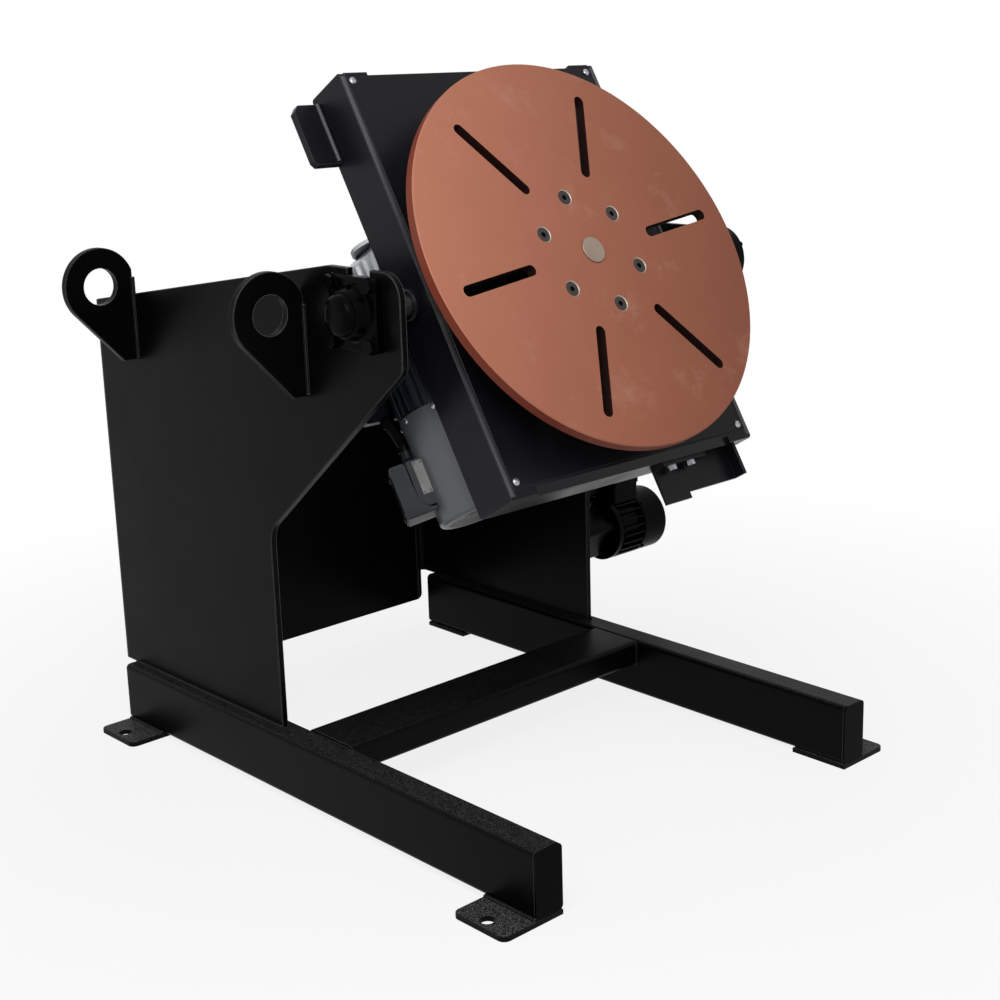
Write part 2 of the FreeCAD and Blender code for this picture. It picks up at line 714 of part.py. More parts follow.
def worm_wheel():
    """Bronze worm wheel blank on the gear unit's output shaft."""
    centre = Vector(PINION_X, pinion_y(), ROT_Z - 13)
    return ring(ROT_WORM_OUT - 14.0 - 0.5, 12.5, 26.0, centre, Z)


def gear_unit():
    """Aluminium worm gear case: square body, round hubs and rounded ends."""
    cx = PINION_X
    cy = pinion_y()
    wx = cx - ROT_WORM_OUT
    body = box(wx - 30, cx + 62, ROT_BOX_LOW, ROT_BOX_HIGH, ROT_Z - 46, ROT_Z + 46)
    body = rounded(body, 14.0, Z)
    hub = rod(46.0, 2 * 57.0, Vector(cx, cy, ROT_Z - 57), Z)
    foot_plate = rod(62.0, 12.0, Vector(cx, cy, BOX_BACK - 12), Z)
    nose = rod(42.0, 6.0, Vector(wx, ROT_BOX_HIGH + 6, ROT_Z), Y * -1)
    case = fused([body, hub, foot_plate, nose])
    case = case.cut(rod(54.0, 34.0, Vector(cx, cy, ROT_Z - 17), Z))
    case = case.cut(rod(12.5 + RUNNING, BOX_BACK - ROT_Z + 50, Vector(cx, cy, ROT_Z - 49), Z))
    case = case.cut(rod(15.0, ROT_BOX_HIGH - ROT_BOX_LOW - 14, Vector(wx, ROT_BOX_LOW - 2, ROT_Z), Y))
    for z in (-30.0, -10.0, 10.0, 30.0):
        fin = box(wx - 34, wx - 27, ROT_BOX_LOW + 14, ROT_BOX_HIGH - 14, ROT_Z + z - 3, ROT_Z + z + 3)
        case = case.fuse(fin)
    return case.removeSplitter()


def motor_stator(radius, ribs, core, length, base, along, side):
    """Finned motor shell around its bore, with a mounting flange at the drive end."""
    shell = rod(core, length, base, along)
    flange = rod(radius, 10.0, base, along)
    tail = rod(radius - COWL_WALL, 10.0, base + along * (length - 10), along)
    other = along.cross(side)
    pieces = [shell, flange, tail]
    for k in range(ribs):
        angle = math.radians(360.0 * (k + 0.5) / ribs)
        arm = side * math.cos(angle) + other * math.sin(angle)
        wide = (along.cross(arm)).normalize()
        start = base + along * 14.0 + arm * (core - 3) - wide * 1.6
        depth = arm * (radius - core + 3)
        points = [start, start + wide * 3.2, start + wide * 3.2 + depth, start + depth]
        pieces.append(prism(points, along * (length - 26)))
    body = fused(pieces)
    body = body.cut(rod(core - 14.0, length - 22, base + along * 12, along))
    return body.cut(rod(8.0 + RUNNING, length + 20, base - along * 5, along))


def motor_rotor(core, length, pack_len, base, along, shaft_back, worm_r, worm_len, worm_at,
                fan_r, fan_at):
    """Rotor pack, shaft, drive-end worm and cooling fan in line."""
    shaft = rod(8.0, length + shaft_back, base - along * shaft_back, along)
    pack = rod(core - 14.8, pack_len, base + along * 20, along)
    worm = rod(worm_r, worm_len, base - along * worm_at, along)
    hub = rod(14.0, 16.0, base + along * fan_at, along)
    pieces = [shaft, pack, worm, hub]
    side = Z if abs(along.z) < 0.9 else X
    side = (side - along * side.dot(along)).normalize()
    other = along.cross(side)
    for k in range(7):
        angle = math.radians(360.0 * k / 7)
        arm = side * math.cos(angle) + other * math.sin(angle)
        wide = along.cross(arm).normalize()
        start = base + along * fan_at + arm * 10 - wide
        points = [start, start + wide * 2, start + wide * 2 + arm * (fan_r - 10), start + arm * (fan_r - 10)]
        pieces.append(prism(points, along * 16.0))
    return fused(pieces)


def fan_cowl(radius, length, base, along):
    """Sheet cowl over the fan end, its end face pierced by rings of air slots."""
    shell = rod(radius, length, base, along)
    edge = [e for e in shell.Edges if e.Curve.TypeId == "Part::GeomCircle"
            and (e.Curve.Center - base).dot(along) > length / 2]
    shell = shell.makeFillet(7.0, edge)
    shell = shell.cut(rod(radius - COWL_WALL, length - COWL_WALL, base, along))
    return shell


def rot_cowl():
    wx = PINION_X - ROT_WORM_OUT
    cowl = fan_cowl(MOTOR_R, COWL_L, Vector(wx, MOTOR_END + COWL_L, ROT_Z), Y * -1)
    for k in range(-4, 5):
        x = wx + k * 11.0
        half = math.sqrt(56.0 ** 2 - (k * 11.0) ** 2)
        cowl = cowl.cut(box(x - 2.2, x + 2.2, MOTOR_END - 1, MOTOR_END + 6, ROT_Z - half, ROT_Z - 4))
        cowl = cowl.cut(box(x - 2.2, x + 2.2, MOTOR_END - 1, MOTOR_END + 6, ROT_Z + 4, ROT_Z + half))
    return cowl


def motor_foot():
    """Foot plate under the rotation motor's shell."""
    wx = PINION_X - ROT_WORM_OUT
    low = ROT_Z - MOTOR_R
    plate = box(wx - 96, wx + 96, ROT_BOX_LOW - 88, ROT_BOX_LOW - 40, low - 6, low + 6)
    plate = rounded(plate, 6.0, Z)
    for x in (wx - 82, wx + 82):
        plate = plate.cut(rod(6.0, 20, Vector(x, ROT_BOX_LOW - 64, low - 10), Z))
    return plate


def footed(shell):
    """Motor shell with its foot plate, the motor's bore kept clear."""
    wx = PINION_X - ROT_WORM_OUT
    plate = motor_foot().cut(rod(60.0, 200, Vector(wx, -150, ROT_Z), Y))
    return fused([shell, plate])


def leaned(shape):
    """Swing a terminal box piece round the motor's axis to its place."""
    shape.rotate(Vector(PINION_X - ROT_WORM_OUT, 0, ROT_Z), Y, TERMINAL_LEAN)
    return shape


def side_profile(points, half):
    """Prism with an outline given as reach from the motor's axis and place along it."""
    wx = PINION_X - ROT_WORM_OUT
    return prism([Vector(wx - r, y, ROT_Z - half) for r, y in points], Z * (2 * half))


def terminal_box():
    """Base of the terminal box on the motor's cowl, with its cable gland and a seam neck."""
    wx = PINION_X - ROT_WORM_OUT
    y0 = MOTOR_END + 104
    body = side_profile([(60, y0), (98, y0), (98, y0 - 58), (86, y0 - 70), (60, y0 - 70)], 32.0)
    body = body.cut(rod(MOTOR_R + CURVED_GAP, 160, Vector(wx, y0 - 110, ROT_Z), Y))
    neck = side_profile([(80, y0 - 3), (100, y0 - 3), (100, y0 - 59), (88, y0 - 73), (80, y0 - 73)], 29.0)
    gland = hexagon(20.0, 10.0, Vector(wx - 86, y0 + 10, ROT_Z), Y * -1)
    thread = rod(9.0, 12.0, Vector(wx - 86, y0 + 22, ROT_Z), Y * -1)
    return leaned(fused([body, neck, gland, thread]))


def terminal_lid():
    """Lid of the terminal box, wrapped round its lower end, with four corner screws."""
    wx = PINION_X - ROT_WORM_OUT
    y0 = MOTOR_END + 105
    out = 114.5
    lid = side_profile([(100, y0), (out, y0), (out, y0 - 80), (77, y0 - 80), (77, y0 - 74),
                        (88, y0 - 74), (100, y0 - 60)], 33.0)
    lid = eased(lid, 2.0, X, wx - out)
    screws = []
    for y in (y0 - 10, y0 - 70):
        for z in (-24, 24):
            screws.append(rod(3.5, 3.0, Vector(wx - out + 1, y, ROT_Z + z), X * -1))
    return leaned(fused([lid] + screws))


# ---------------------------------------------------------------- tilt drive
def drive_frame():
    """Unit vectors along and across the inclined shaft, and its two end points."""
    run = Vector(0, AXIS_Y - TILT_MOTOR_Y, AXIS_Z - TILT_MOTOR_Z)
    lean = math.atan2(-run.y, run.z) + math.asin(PRIME_CENTRES / run.Length)
    along = Vector(0, -math.sin(lean), math.cos(lean))
    across = Vector(0, math.cos(lean), math.sin(lean))
    top = Vector(DRIVE_X, AXIS_Y, AXIS_Z)
    low = Vector(DRIVE_X, TILT_MOTOR_Y, TILT_MOTOR_Z) + across * PRIME_CENTRES
    return along, across, top, low


def slab(centre, along, across, a0, a1, b0, b1, x0, x1):
    """Box set square to the inclined shaft."""
    corners = []
    for a, b in ((a0, b0), (a1, b0), (a1, b1), (a0, b1)):
        point = centre + along * a + across * b
        corners.append(Vector(x0, point.y, point.z))
    return prism(corners, X * (x1 - x0))


def tilt_case():
    """Bevel gear case on the right column: round drum, square flange and tube socket."""
    along, across, top, low = drive_frame()
    x0 = FRAME_W / 2 - COL_INSET
    half = FLANGE_SIDE / 2
    flange = box(x0, x0 + 13, AXIS_Y - half, AXIS_Y + half, AXIS_Z - half, AXIS_Z + half)
    flange = rounded(flange, 15.0, X)
    drum = rod(TILT_CASE_R, TILT_CASE_OUT - 8, Vector(x0, AXIS_Y, AXIS_Z), X)
    socket = rod(21.0, 96.0, top, along * -1)
    case = fused([flange, drum, socket])
    case = case.cut(rod(BEVEL_R + 3, TILT_CASE_OUT - 18, Vector(x0 + 18, AXIS_Y, AXIS_Z), X))
    case = case.cut(rod(16.5, 64.0, top, along * -1))
    case = case.cut(rod(10.0 + RUNNING, 100.0, top, along * -1))
    case = case.cut(rod(DRIVE_SHAFT_R + RUNNING, 40.0, Vector(x0 - 10, AXIS_Y, AXIS_Z), X))
    for dy in (-BOLT_SQUARE / 2, BOLT_SQUARE / 2):
        for dz in (-BOLT_SQUARE / 2, BOLT_SQUARE / 2):
            case = case.cut(rod(6.0, 13.5, Vector(x0 - 1, AXIS_Y + dy, AXIS_Z + dz), X))
    return case


def tilt_case_cover():
    """Round end cover of the tilt gear case with six cap screws."""
    x0 = FRAME_W / 2 - COL_INSET + TILT_CASE_OUT - 8
    centre = Vector(x0, AXIS_Y, AXIS_Z)
    plate = rod(TILT_CASE_R, 8.0, centre, X)
    boss = rod(26.0, 11.0, centre, X)
    pieces = [plate, boss]
    for y, z in bolt_circle(6, TILT_CASE_R - 5.0, 30.0):
        pieces.append(rod(4.5, 12.0, centre + Vector(0, y, z), X))
    return fused(pieces)


def tilt_case_bolts():
    """Four bolts from inside the right column into the tilt gear case."""
    x0 = FRAME_W / 2 - COL_INSET
    pieces = []
    for dy in (-BOLT_SQUARE / 2, BOLT_SQUARE / 2):
        for dz in (-BOLT_SQUARE / 2, BOLT_SQUARE / 2):
            base = Vector(x0 - COL_T, AXIS_Y + dy, AXIS_Z + dz)
            shank = rod(6.0, COL_T + 12, base, X)
            washer = rod(12.0, 2.5, base, X * -1)
            head = hexagon(19.0, 8.0, base - X * 2.5, X * -1, 15.0)
            pieces.append(fused([shank, washer, head]))
    return Part.makeCompound(pieces)


def tilt_wheel():
    """Bevel wheel on the right trunnion, its cone facing the column."""
    inner = 30.0
    profile = [
        Vector(DRIVE_X + inner / BEVEL_RATIO + BEVEL_GAP, inner, 0),
        Vector(DRIVE_X + BEVEL_R / BEVEL_RATIO + BEVEL_GAP, BEVEL_R, 0),
        Vector(DRIVE_X + 18.5, BEVEL_R, 0),
        Vector(DRIVE_X + WHEEL_BACK, 28.0, 0),
        Vector(DRIVE_X + WHEEL_BACK, DRIVE_SHAFT_R, 0),
        Vector(DRIVE_X + inner / BEVEL_RATIO + BEVEL_GAP, DRIVE_SHAFT_R, 0),
    ]
    face = Part.Face(Part.makePolygon(profile + [profile[0]]))
    wheel = face.revolve(Vector(0, 0, 0), X, 360)
    wheel.translate(Vector(0, AXIS_Y, AXIS_Z))
    return wheel


def drive_shaft():
    """Inclined shaft with the bevel pinion at its upper end."""
    along, across, top, low = drive_frame()
    shaft = rod(10.0, (top - low).Length - BEVEL_R + 22, low - along * 22, along)
    pinion = Part.makeCone(BEVEL_R / BEVEL_RATIO - BEVEL_GAP, 30.0 / BEVEL_RATIO - BEVEL_GAP,
                           BEVEL_R - 30.0, top - along * BEVEL_R, along)
    return fused([shaft, pinion])


def prime_wheel():
    """Bronze wheel at the foot of the inclined shaft."""
    along, across, top, low = drive_frame()
    radius = PRIME_CENTRES - PRIME_WORM_R - 0.5
    return ring(radius, 10.0, 22.0, low - along * 11, along)


def prime_case():
    """First-stage gear case on the right column."""
    along, across, top, low = drive_frame()
    x0 = FRAME_W / 2 - COL_INSET
    body = slab(low, along, across, -42, 42, -76, 40, x0 + 10, x0 + PRIME_CASE_W)
    body = rounded(body, 10.0, X)
    pad = slab(low, along, across, -60, 60, -60, 30, x0, x0 + 10)
    case = fused([body, pad])
    case = case.cut(rod(31.0, 28.0, low - along * 14, along))
    case = case.cut(rod(10.0 + RUNNING, 74.0, low - along * 24, along))
    motor = Vector(x0, TILT_MOTOR_Y, TILT_MOTOR_Z)
    case = case.cut(rod(8.0 + RUNNING, 10.0, motor + X * 2, X))
    return case.cut(rod(16.0, 100.0, motor + X * 7, X))


def drive_tube():
    """Guard tube round the inclined shaft, from case to case."""
    along, across, top, low = drive_frame()
    length = (top - low).Length - 42 - 96
    tube = ring(22.0, 17.0, length, low + along * 42, along)
    collar = ring(25.0, 17.0, 10.0, low + along * 42, along)
    upper = ring(25.0, 17.0, 10.0, low + along * (42 + length - 10), along)
    return fused([tube, collar, upper])


def tilt_cowl():
    """Fan cowl of the tilt motor with its slotted end."""
    base = Vector(TILT_MOTOR_END - TILT_COWL_L, TILT_MOTOR_Y, TILT_MOTOR_Z)
    cowl = fan_cowl(TILT_MOTOR_R, TILT_COWL_L, base, X)
    for k in range(-3, 4):
        y = TILT_MOTOR_Y + k * 12.0
        half = math.sqrt(48.0 ** 2 - (k * 12.0) ** 2)
        for z0, z1 in ((-half, -4), (4, half)):
            cowl = cowl.cut(box(TILT_MOTOR_END - 6, TILT_MOTOR_END + 1, y - 2.2, y + 2.2,
                                TILT_MOTOR_Z + z0, TILT_MOTOR_Z + z1))
    return cowl


def tilt_terminal_box():
    x0 = FRAME_W / 2 - COL_INSET + PRIME_CASE_W
    body = box(x0 + 14, x0 + 78, TILT_MOTOR_Y - 32, TILT_MOTOR_Y + 32,
               TILT_MOTOR_Z + 44, TILT_MOTOR_Z + 84)
    body = rounded(body, 5.0, Z)
    seat = rod(TILT_MOTOR_R + CURVED_GAP, 120, Vector(x0, TILT_MOTOR_Y, TILT_MOTOR_Z), X)
    body = body.cut(seat)
    lid = box(x0 + 12, x0 + 80, TILT_MOTOR_Y - 34, TILT_MOTOR_Y + 34,
              TILT_MOTOR_Z + 84, TILT_MOTOR_Z + 92)
    lid = rounded(lid, 6.0, Z)
    return fused([body, lid])


def tilt_stop():
    """Bracket with a pad on the left column's inner face, under the ear at table level."""
    x0 = -FRAME_W / 2 + COL_INSET + COL_T
    top = AXIS_Z + BOX_BACK - 0.5
    y0 = AXIS_Y + 255
    shelf = box(x0, x0 + 76, y0, y0 + 80, top - 16, top - 6)
    web = prism([Vector(x0, y0 + 34, top - 16), Vector(x0 + 70, y0 + 34, top - 16),
                 Vector(x0, y0 + 34, top - 100)], Y * 12)
    return fused([shelf, web])


def stop_pad():
    x0 = -FRAME_W / 2 + COL_INSET + COL_T
    top = AXIS_Z + BOX_BACK - 0.5
    y0 = AXIS_Y + 255
    return rounded(box(x0 + 30, x0 + 74, y0 + 6, y0 + 74, top - 6, top), 6.0, Z)


# ---------------------------------------------------------------- export
left_leg = leg_tube()
save("left_leg", left_leg)
save("right_leg", mirrored(left_leg))
save("leg_caps", leg_caps())
for place in ("front", "rear"):
    plate = foot(place == "front")
    save("left_" + place + "_foot", plate)
    save("right_" + place + "_foot", mirrored(plate))
    eye = lug(LUG_YS[place])
    save("left_" + place + "_lug", eye)
    save("right_" + place + "_lug", mirrored(eye))
save("cross_member", cross_member())
save("left_column", column(True))
save("right_column", mirrored(column(False)))
save("rear_panel", rear_panel())
save("tilt_stop", tilt_stop())
save("stop_pad", stop_pad())

column_face = -FRAME_W / 2 + COL_INSET
save("bearing_housing", bearing_housing())
save("bearing_bolts", flange_bolts(column_face, -1, 13.0, True))
save("bearing_inner_ring", inner_ring())

save("box_side_left", tilted(box_side()))
save("box_side_right", tilted(mirrored(box_side())))
save("top_rail", tilted(top_rail()))
save("bottom_rail", tilted(bottom_rail()))
save("front_cover", tilted(front_cover()))
save("cover_screws", tilted(cover_screws()))
save("spindle_carrier", tilted(carrier()))
save("spindle_housing", tilted(spindle_housing()))
save("rear_plate", tilted(rear_plate()))
left_reach = FRAME_W / 2 - COL_INSET + 42.0 - BOX_W / 2
right_reach = DRIVE_X + WHEEL_BACK - BOX_W / 2
save("left_trunnion", tilted(trunnion(-1, SHAFT_R, left_reach)))
save("right_trunnion", tilted(trunnion(1, DRIVE_SHAFT_R, right_reach)))
save("stop_ear", tilted(stop_ear()))
save("lower_bracket", tilted(lower_bracket()))
save("bracket_bolts", tilted(bracket_bolts()))
save("earth_brush", tilted(earth_brush()))

save("table_disc", tilted(table_disc()))
save("table_bolts", tilted(table_bolts()))
save("spindle", tilted(spindle()))
save("main_gear", tilted(main_gear()))
save("earth_ring", tilted(earth_ring()))

motor_x = PINION_X - ROT_WORM_OUT
motor_base = Vector(motor_x, ROT_BOX_LOW, ROT_Z)
save("pinion_shaft", tilted(pinion_shaft()))
save("rotation_wheel", tilted(worm_wheel()))
save("rotation_gear_case", tilted(gear_unit()))
shell = motor_stator(MOTOR_R, 28, 60.0, MOTOR_SHELL_L, motor_base, Y * -1, X)
save("rotation_motor", tilted(footed(shell)))
rotor = motor_rotor(60.0, 236.0, 73.0, motor_base, Y * -1, 140.0, 13.5, 90.0, 125.0, 55.0, 218.0)
save("rotation_rotor", tilted(rotor))
save("rotation_cowl", tilted(rot_cowl()))
save("terminal_box", tilted(terminal_box()))
save("terminal_lid", tilted(terminal_lid()))

tilt_base = Vector(FRAME_W / 2 - COL_INSET + PRIME_CASE_W, TILT_MOTOR_Y, TILT_MOTOR_Z)
save("tilt_gear_case", tilt_case())
save("tilt_case_cover", tilt_case_cover())
save("tilt_case_bolts", tilt_case_bolts())
save("tilt_wheel", tilt_wheel())
save("inclined_shaft", drive_shaft())
save("first_stage_wheel", prime_wheel())
save("first_stage_case", prime_case())
save("drive_tube", drive_tube())
save("tilt_motor", motor_stator(TILT_MOTOR_R, 24, 50.0, TILT_MOTOR_L, tilt_base, X, Z))
save("tilt_rotor", motor_rotor(50.0, 108.0, 40.0, tilt_base, X, 77.0, PRIME_WORM_R, 56.0, 73.0,
                                  48.0, 90.0))
save("tilt_cowl", tilt_cowl())
save("tilt_terminal_box", tilt_terminal_box())
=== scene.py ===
import math

import bmesh
import bpy
from mathutils import Matrix, Vector


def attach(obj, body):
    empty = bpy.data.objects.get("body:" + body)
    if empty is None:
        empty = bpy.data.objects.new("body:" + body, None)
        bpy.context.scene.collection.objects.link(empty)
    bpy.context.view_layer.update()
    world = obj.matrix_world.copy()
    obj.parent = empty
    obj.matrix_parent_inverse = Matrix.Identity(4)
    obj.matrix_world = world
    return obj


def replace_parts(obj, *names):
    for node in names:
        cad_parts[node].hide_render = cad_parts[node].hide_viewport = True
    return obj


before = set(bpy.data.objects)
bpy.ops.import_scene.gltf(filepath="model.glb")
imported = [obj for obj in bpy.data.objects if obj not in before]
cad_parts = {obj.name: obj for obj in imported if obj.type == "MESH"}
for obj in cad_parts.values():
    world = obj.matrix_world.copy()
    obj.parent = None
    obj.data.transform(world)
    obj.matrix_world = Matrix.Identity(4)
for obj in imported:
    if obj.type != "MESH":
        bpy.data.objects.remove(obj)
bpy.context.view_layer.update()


# ---------------------------------------------------------------------------------------------
# Floor frame: two rectangular tube legs on foot plates, a flat cross tube between them, a folded
# column plate on each leg, a back panel and four lifting lugs. Mild steel, welded together and
# then sprayed with black enamel.
# ---------------------------------------------------------------------------------------------
def srgb(code):
    """Linear colour of a hex code."""
    parts = [int(code[i:i + 2], 16) / 255 for i in (1, 3, 5)]
    return [p / 12.92 if p <= 0.04045 else ((p + 0.055) / 1.055) ** 2.4 for p in parts] + [1.0]


def add(mat, kind, values=None, links=None, **fields):
    """Add one shader node to a material, with its fields, its values and what feeds it."""
    made = mat.node_tree.nodes.new("ShaderNode" + kind)
    for name, value in fields.items():
        setattr(made, name, value)
    for name, value in (values or {}).items():
        made.inputs[name].default_value = value
    for name, source in (links or {}).items():
        mat.node_tree.links.new(made.inputs[name], source)
    return made


def blank(name):
    """A material with nothing in it yet."""
    mat = bpy.data.materials.new(name)
    mat.use_nodes = True
    mat.node_tree.nodes.clear()
    return mat


def close(mat, shader):
    """Lead the finished shader to the material's output."""
    add(mat, "OutputMaterial", links={"Surface": shader.outputs[0]})
    return mat


# Real orange peel is 2 to 4 mm from hill to hill. Dust grains are far finer than the 1.7 mm they
# are drawn at, so that they show. The paler band along the outer 1.6 mm of an edge is partly
# paint rubbed thin and partly a painted highlight.
PEEL_MM, DUST_MM, CLOUD_MM, WORN_AND_LIT_EDGE_MM = 3.0, 1.7, 110.0, 1.6


def enamel(name, colour, dust_and_lit_top_colour, rough, gloss, dust_and_lit_top_share=0.35, worn_and_lit_edge_colour="#2c2c2e"):
    """Sprayed enamel: orange peel in its relief, paler specks on level faces that are partly dust and
    partly painted light on the tops, and paler edges that are partly rubbed paint and partly a painted
    highlight.
    """
    mat = blank(name)
    place = add(mat, "TexCoord").outputs["Object"]
    patches = add(mat, "TexNoise", {"Scale": 1000 / CLOUD_MM, "Detail": 4.0}, {"Vector": place})
    grit = add(mat, "TexNoise", {"Scale": 1000 / DUST_MM, "Detail": 2.0}, {"Vector": place})
    facing = add(mat, "NewGeometry")
    up = add(mat, "SeparateXYZ", links={"Vector": facing.outputs["Normal"]})
    # Paler specks on upward faces: partly dust, partly painted light where light falls on the tops.
    upward = add(mat, "MapRange", {"From Min": 0.6, "From Max": 0.98, "To Max": dust_and_lit_top_share},
                 {"Value": up.outputs["Z"]})
    speck = add(mat, "MapRange", {"From Min": 0.44, "From Max": 0.66}, {"Value": grit.outputs["Fac"]})
    dust_and_lit_top = add(mat, "Math", links={0: upward.outputs[0], 1: speck.outputs[0]}, operation="MULTIPLY")
    paint = add(mat, "MixRGB", {"Color1": srgb(colour), "Color2": srgb(dust_and_lit_top_colour)},
                {"Fac": dust_and_lit_top.outputs[0]})
    # Paler edges: partly rubbed paint, partly a painted highlight along every edge.
    rounded = add(mat, "Bevel", {"Radius": WORN_AND_LIT_EDGE_MM / 1000}, samples=4)
    turn = add(mat, "VectorMath", links={0: rounded.outputs[0], 1: facing.outputs["True Normal"]},
               operation="DOT_PRODUCT")
    worn_and_lit_edge = add(mat, "MapRange", {"From Min": 0.97, "From Max": 0.80}, {"Value": turn.outputs["Value"]})
    paint = add(mat, "MixRGB", {"Color2": srgb(worn_and_lit_edge_colour)},
                {"Fac": worn_and_lit_edge.outputs[0], "Color1": paint.outputs[0]})
    shade = add(mat, "MapRange", {"From Min": 0.3, "From Max": 0.7, "To Min": rough - 0.06,
                                  "To Max": rough + 0.08}, {"Value": patches.outputs["Fac"]})
    duller = add(mat, "Math", {1: 0.35}, {0: dust_and_lit_top.outputs[0], 2: shade.outputs[0]},
                 operation="MULTIPLY_ADD")
    peel = add(mat, "TexNoise", {"Scale": 1000 / PEEL_MM, "Detail": 1.0}, {"Vector": place})
    relief = add(mat, "Bump", {"Strength": 0.10, "Distance": 0.0003}, {"Height": peel.outputs["Fac"]})
    return close(mat, add(mat, "BsdfPrincipled", {"Specular IOR Level": gloss},
                          {"Base Color": paint.outputs[0], "Roughness": duller.outputs[0],
                           "Normal": relief.outputs[0]}))


def dress(mat, *nodes):
    """Give carried-over pieces their finish."""
    for name in nodes:
        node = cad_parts[name]
        node.data.materials.clear()
        node.data.materials.append(mat)


# Black alkyd enamel, sprayed: a deep soft black with a little orange peel and greyer edges, partly
# where slings and hands have rubbed it and partly a painted highlight.
black_enamel = enamel("black_enamel", "#070708", "#48484a", 0.33, 0.045, worn_and_lit_edge_colour="#7c7c7e")
dress(black_enamel, "cross_member", "left_column", "right_column", "rear_panel", "tilt_stop",
      "left_front_lug", "right_front_lug", "left_rear_lug", "right_rear_lug")

# The same enamel on the foot plates, where boots and floor dust dull it to a flat grey; the grey of the
# tops is partly painted light.
foot_enamel = enamel("trodden_and_lit_top_enamel", "#08080a", "#7a7a7c", 0.45, 0.06, dust_and_lit_top_share=0.9)
dress(foot_enamel, "left_front_foot", "right_front_foot", "left_rear_foot", "right_rear_foot")

# The same enamel on the legs, with a grey bloom on top and black sides: partly dust, partly painted light
# on the tops.
leg_enamel = enamel("dust_and_lit_top_enamel", "#070708", "#59595b", 0.34, 0.045, dust_and_lit_top_share=0.6, worn_and_lit_edge_colour="#6c6c6e")
dress(leg_enamel, "left_leg", "right_leg")

# Black paint on cast iron and on the leg ends: a dead, even black that hardly shines, with the
# edges only just paler.
iron_enamel = enamel("black_iron_enamel", "#020203", "#242424", 0.26, 0.03, dust_and_lit_top_share=0.1, worn_and_lit_edge_colour="#1a1a1c")
dress(iron_enamel, "leg_caps")


# ---------------------------------------------------------------------------------------------
# Weld seams of the frame: hand-laid fillets at the feet, the cross tube, the columns, the lugs
# and the back panel. Low-alloy weld metal under the same black paint, in overlapping ripples.
# ---------------------------------------------------------------------------------------------
def piece(name, bm, mat, body, smooth=38):
    """Turn a bmesh in millimetres into an object that rides on a body."""
    bmesh.ops.recalc_face_normals(bm, faces=bm.faces)
    bm.transform(Matrix.Scale(0.001, 4))
    mesh = bpy.data.meshes.new(name)
    bm.to_mesh(mesh)
    bm.free()
    mesh.shade_smooth()
    mesh.set_sharp_from_angle(angle=math.radians(smooth))
    mesh.materials.append(mat)
    made = bpy.data.objects.new(name, mesh)
    bpy.context.collection.objects.link(made)
    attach(made, body)
    return made


def skin(bm, rings):
    """Close a row of vertex rings into one solid, with a flat fan at each end."""
    count = len(rings[0])
    made = [[bm.verts.new(p) for p in ring] for ring in rings]
    for near, far in zip(made, made[1:]):
        for k in range(count):
            bm.faces.new((near[k], near[(k + 1) % count], far[(k + 1) % count], far[k]))
    bm.faces.new(made[0])
    bm.faces.new(made[-1])


def bead(bm, path, radius, ripple=5.0):
    """Lay one weld bead along a path of corners, as a rope of overlapping ripples."""
    steps = 3
    for start, end in zip(path, path[1:]):
        start = Vector(start)
        run = Vector(end) - start
        along = run.normalized()
        side = along.orthogonal().normalized()
        other = along.cross(side)
        count = max(2, round(run.length / ripple))
        rings = []
        for k in range(count * steps + 1):
            phase = (k % steps) / steps
            swell = 0.78 + 0.22 * math.sqrt(max(0.0, 1 - phase * phase))
            swell *= 1 + 0.06 * math.sin(1.7 * k) * math.sin(0.31 * k)
            middle = start + run * (k / (count * steps))
            rings.append([middle + (side * math.cos(a) + other * math.sin(a)) * radius * swell
                          for a in (math.radians(45 * i) for i in range(8))])
        skin(bm, rings)


LEG_OUT, LEG_IN, LEG_TOP = 370.0, 320.0, 108.0
FOOT_IN, FOOT_OUT, FOOT_TOP = 416.0, 518.0, 8.0
COLUMN_OUT, COLUMN_IN, COLUMN_FRONT, COLUMN_BACK = 349.0, 339.0, 82.0, 516.0
CROSS_FRONT, CROSS_BACK, CROSS_LOW, CROSS_STOP = -60.0, 46.0, 65.0, 102.0
PANEL_X, PANEL_Y, PANEL_LOW, PANEL_TOP = 319.5, 551.0, 52.0, 734.0
LUG_PLACES, LUG_HALF, LUG_LOW, LUG_TOP = (-35.0, 433.0), 6.0, 664.0, 796.0
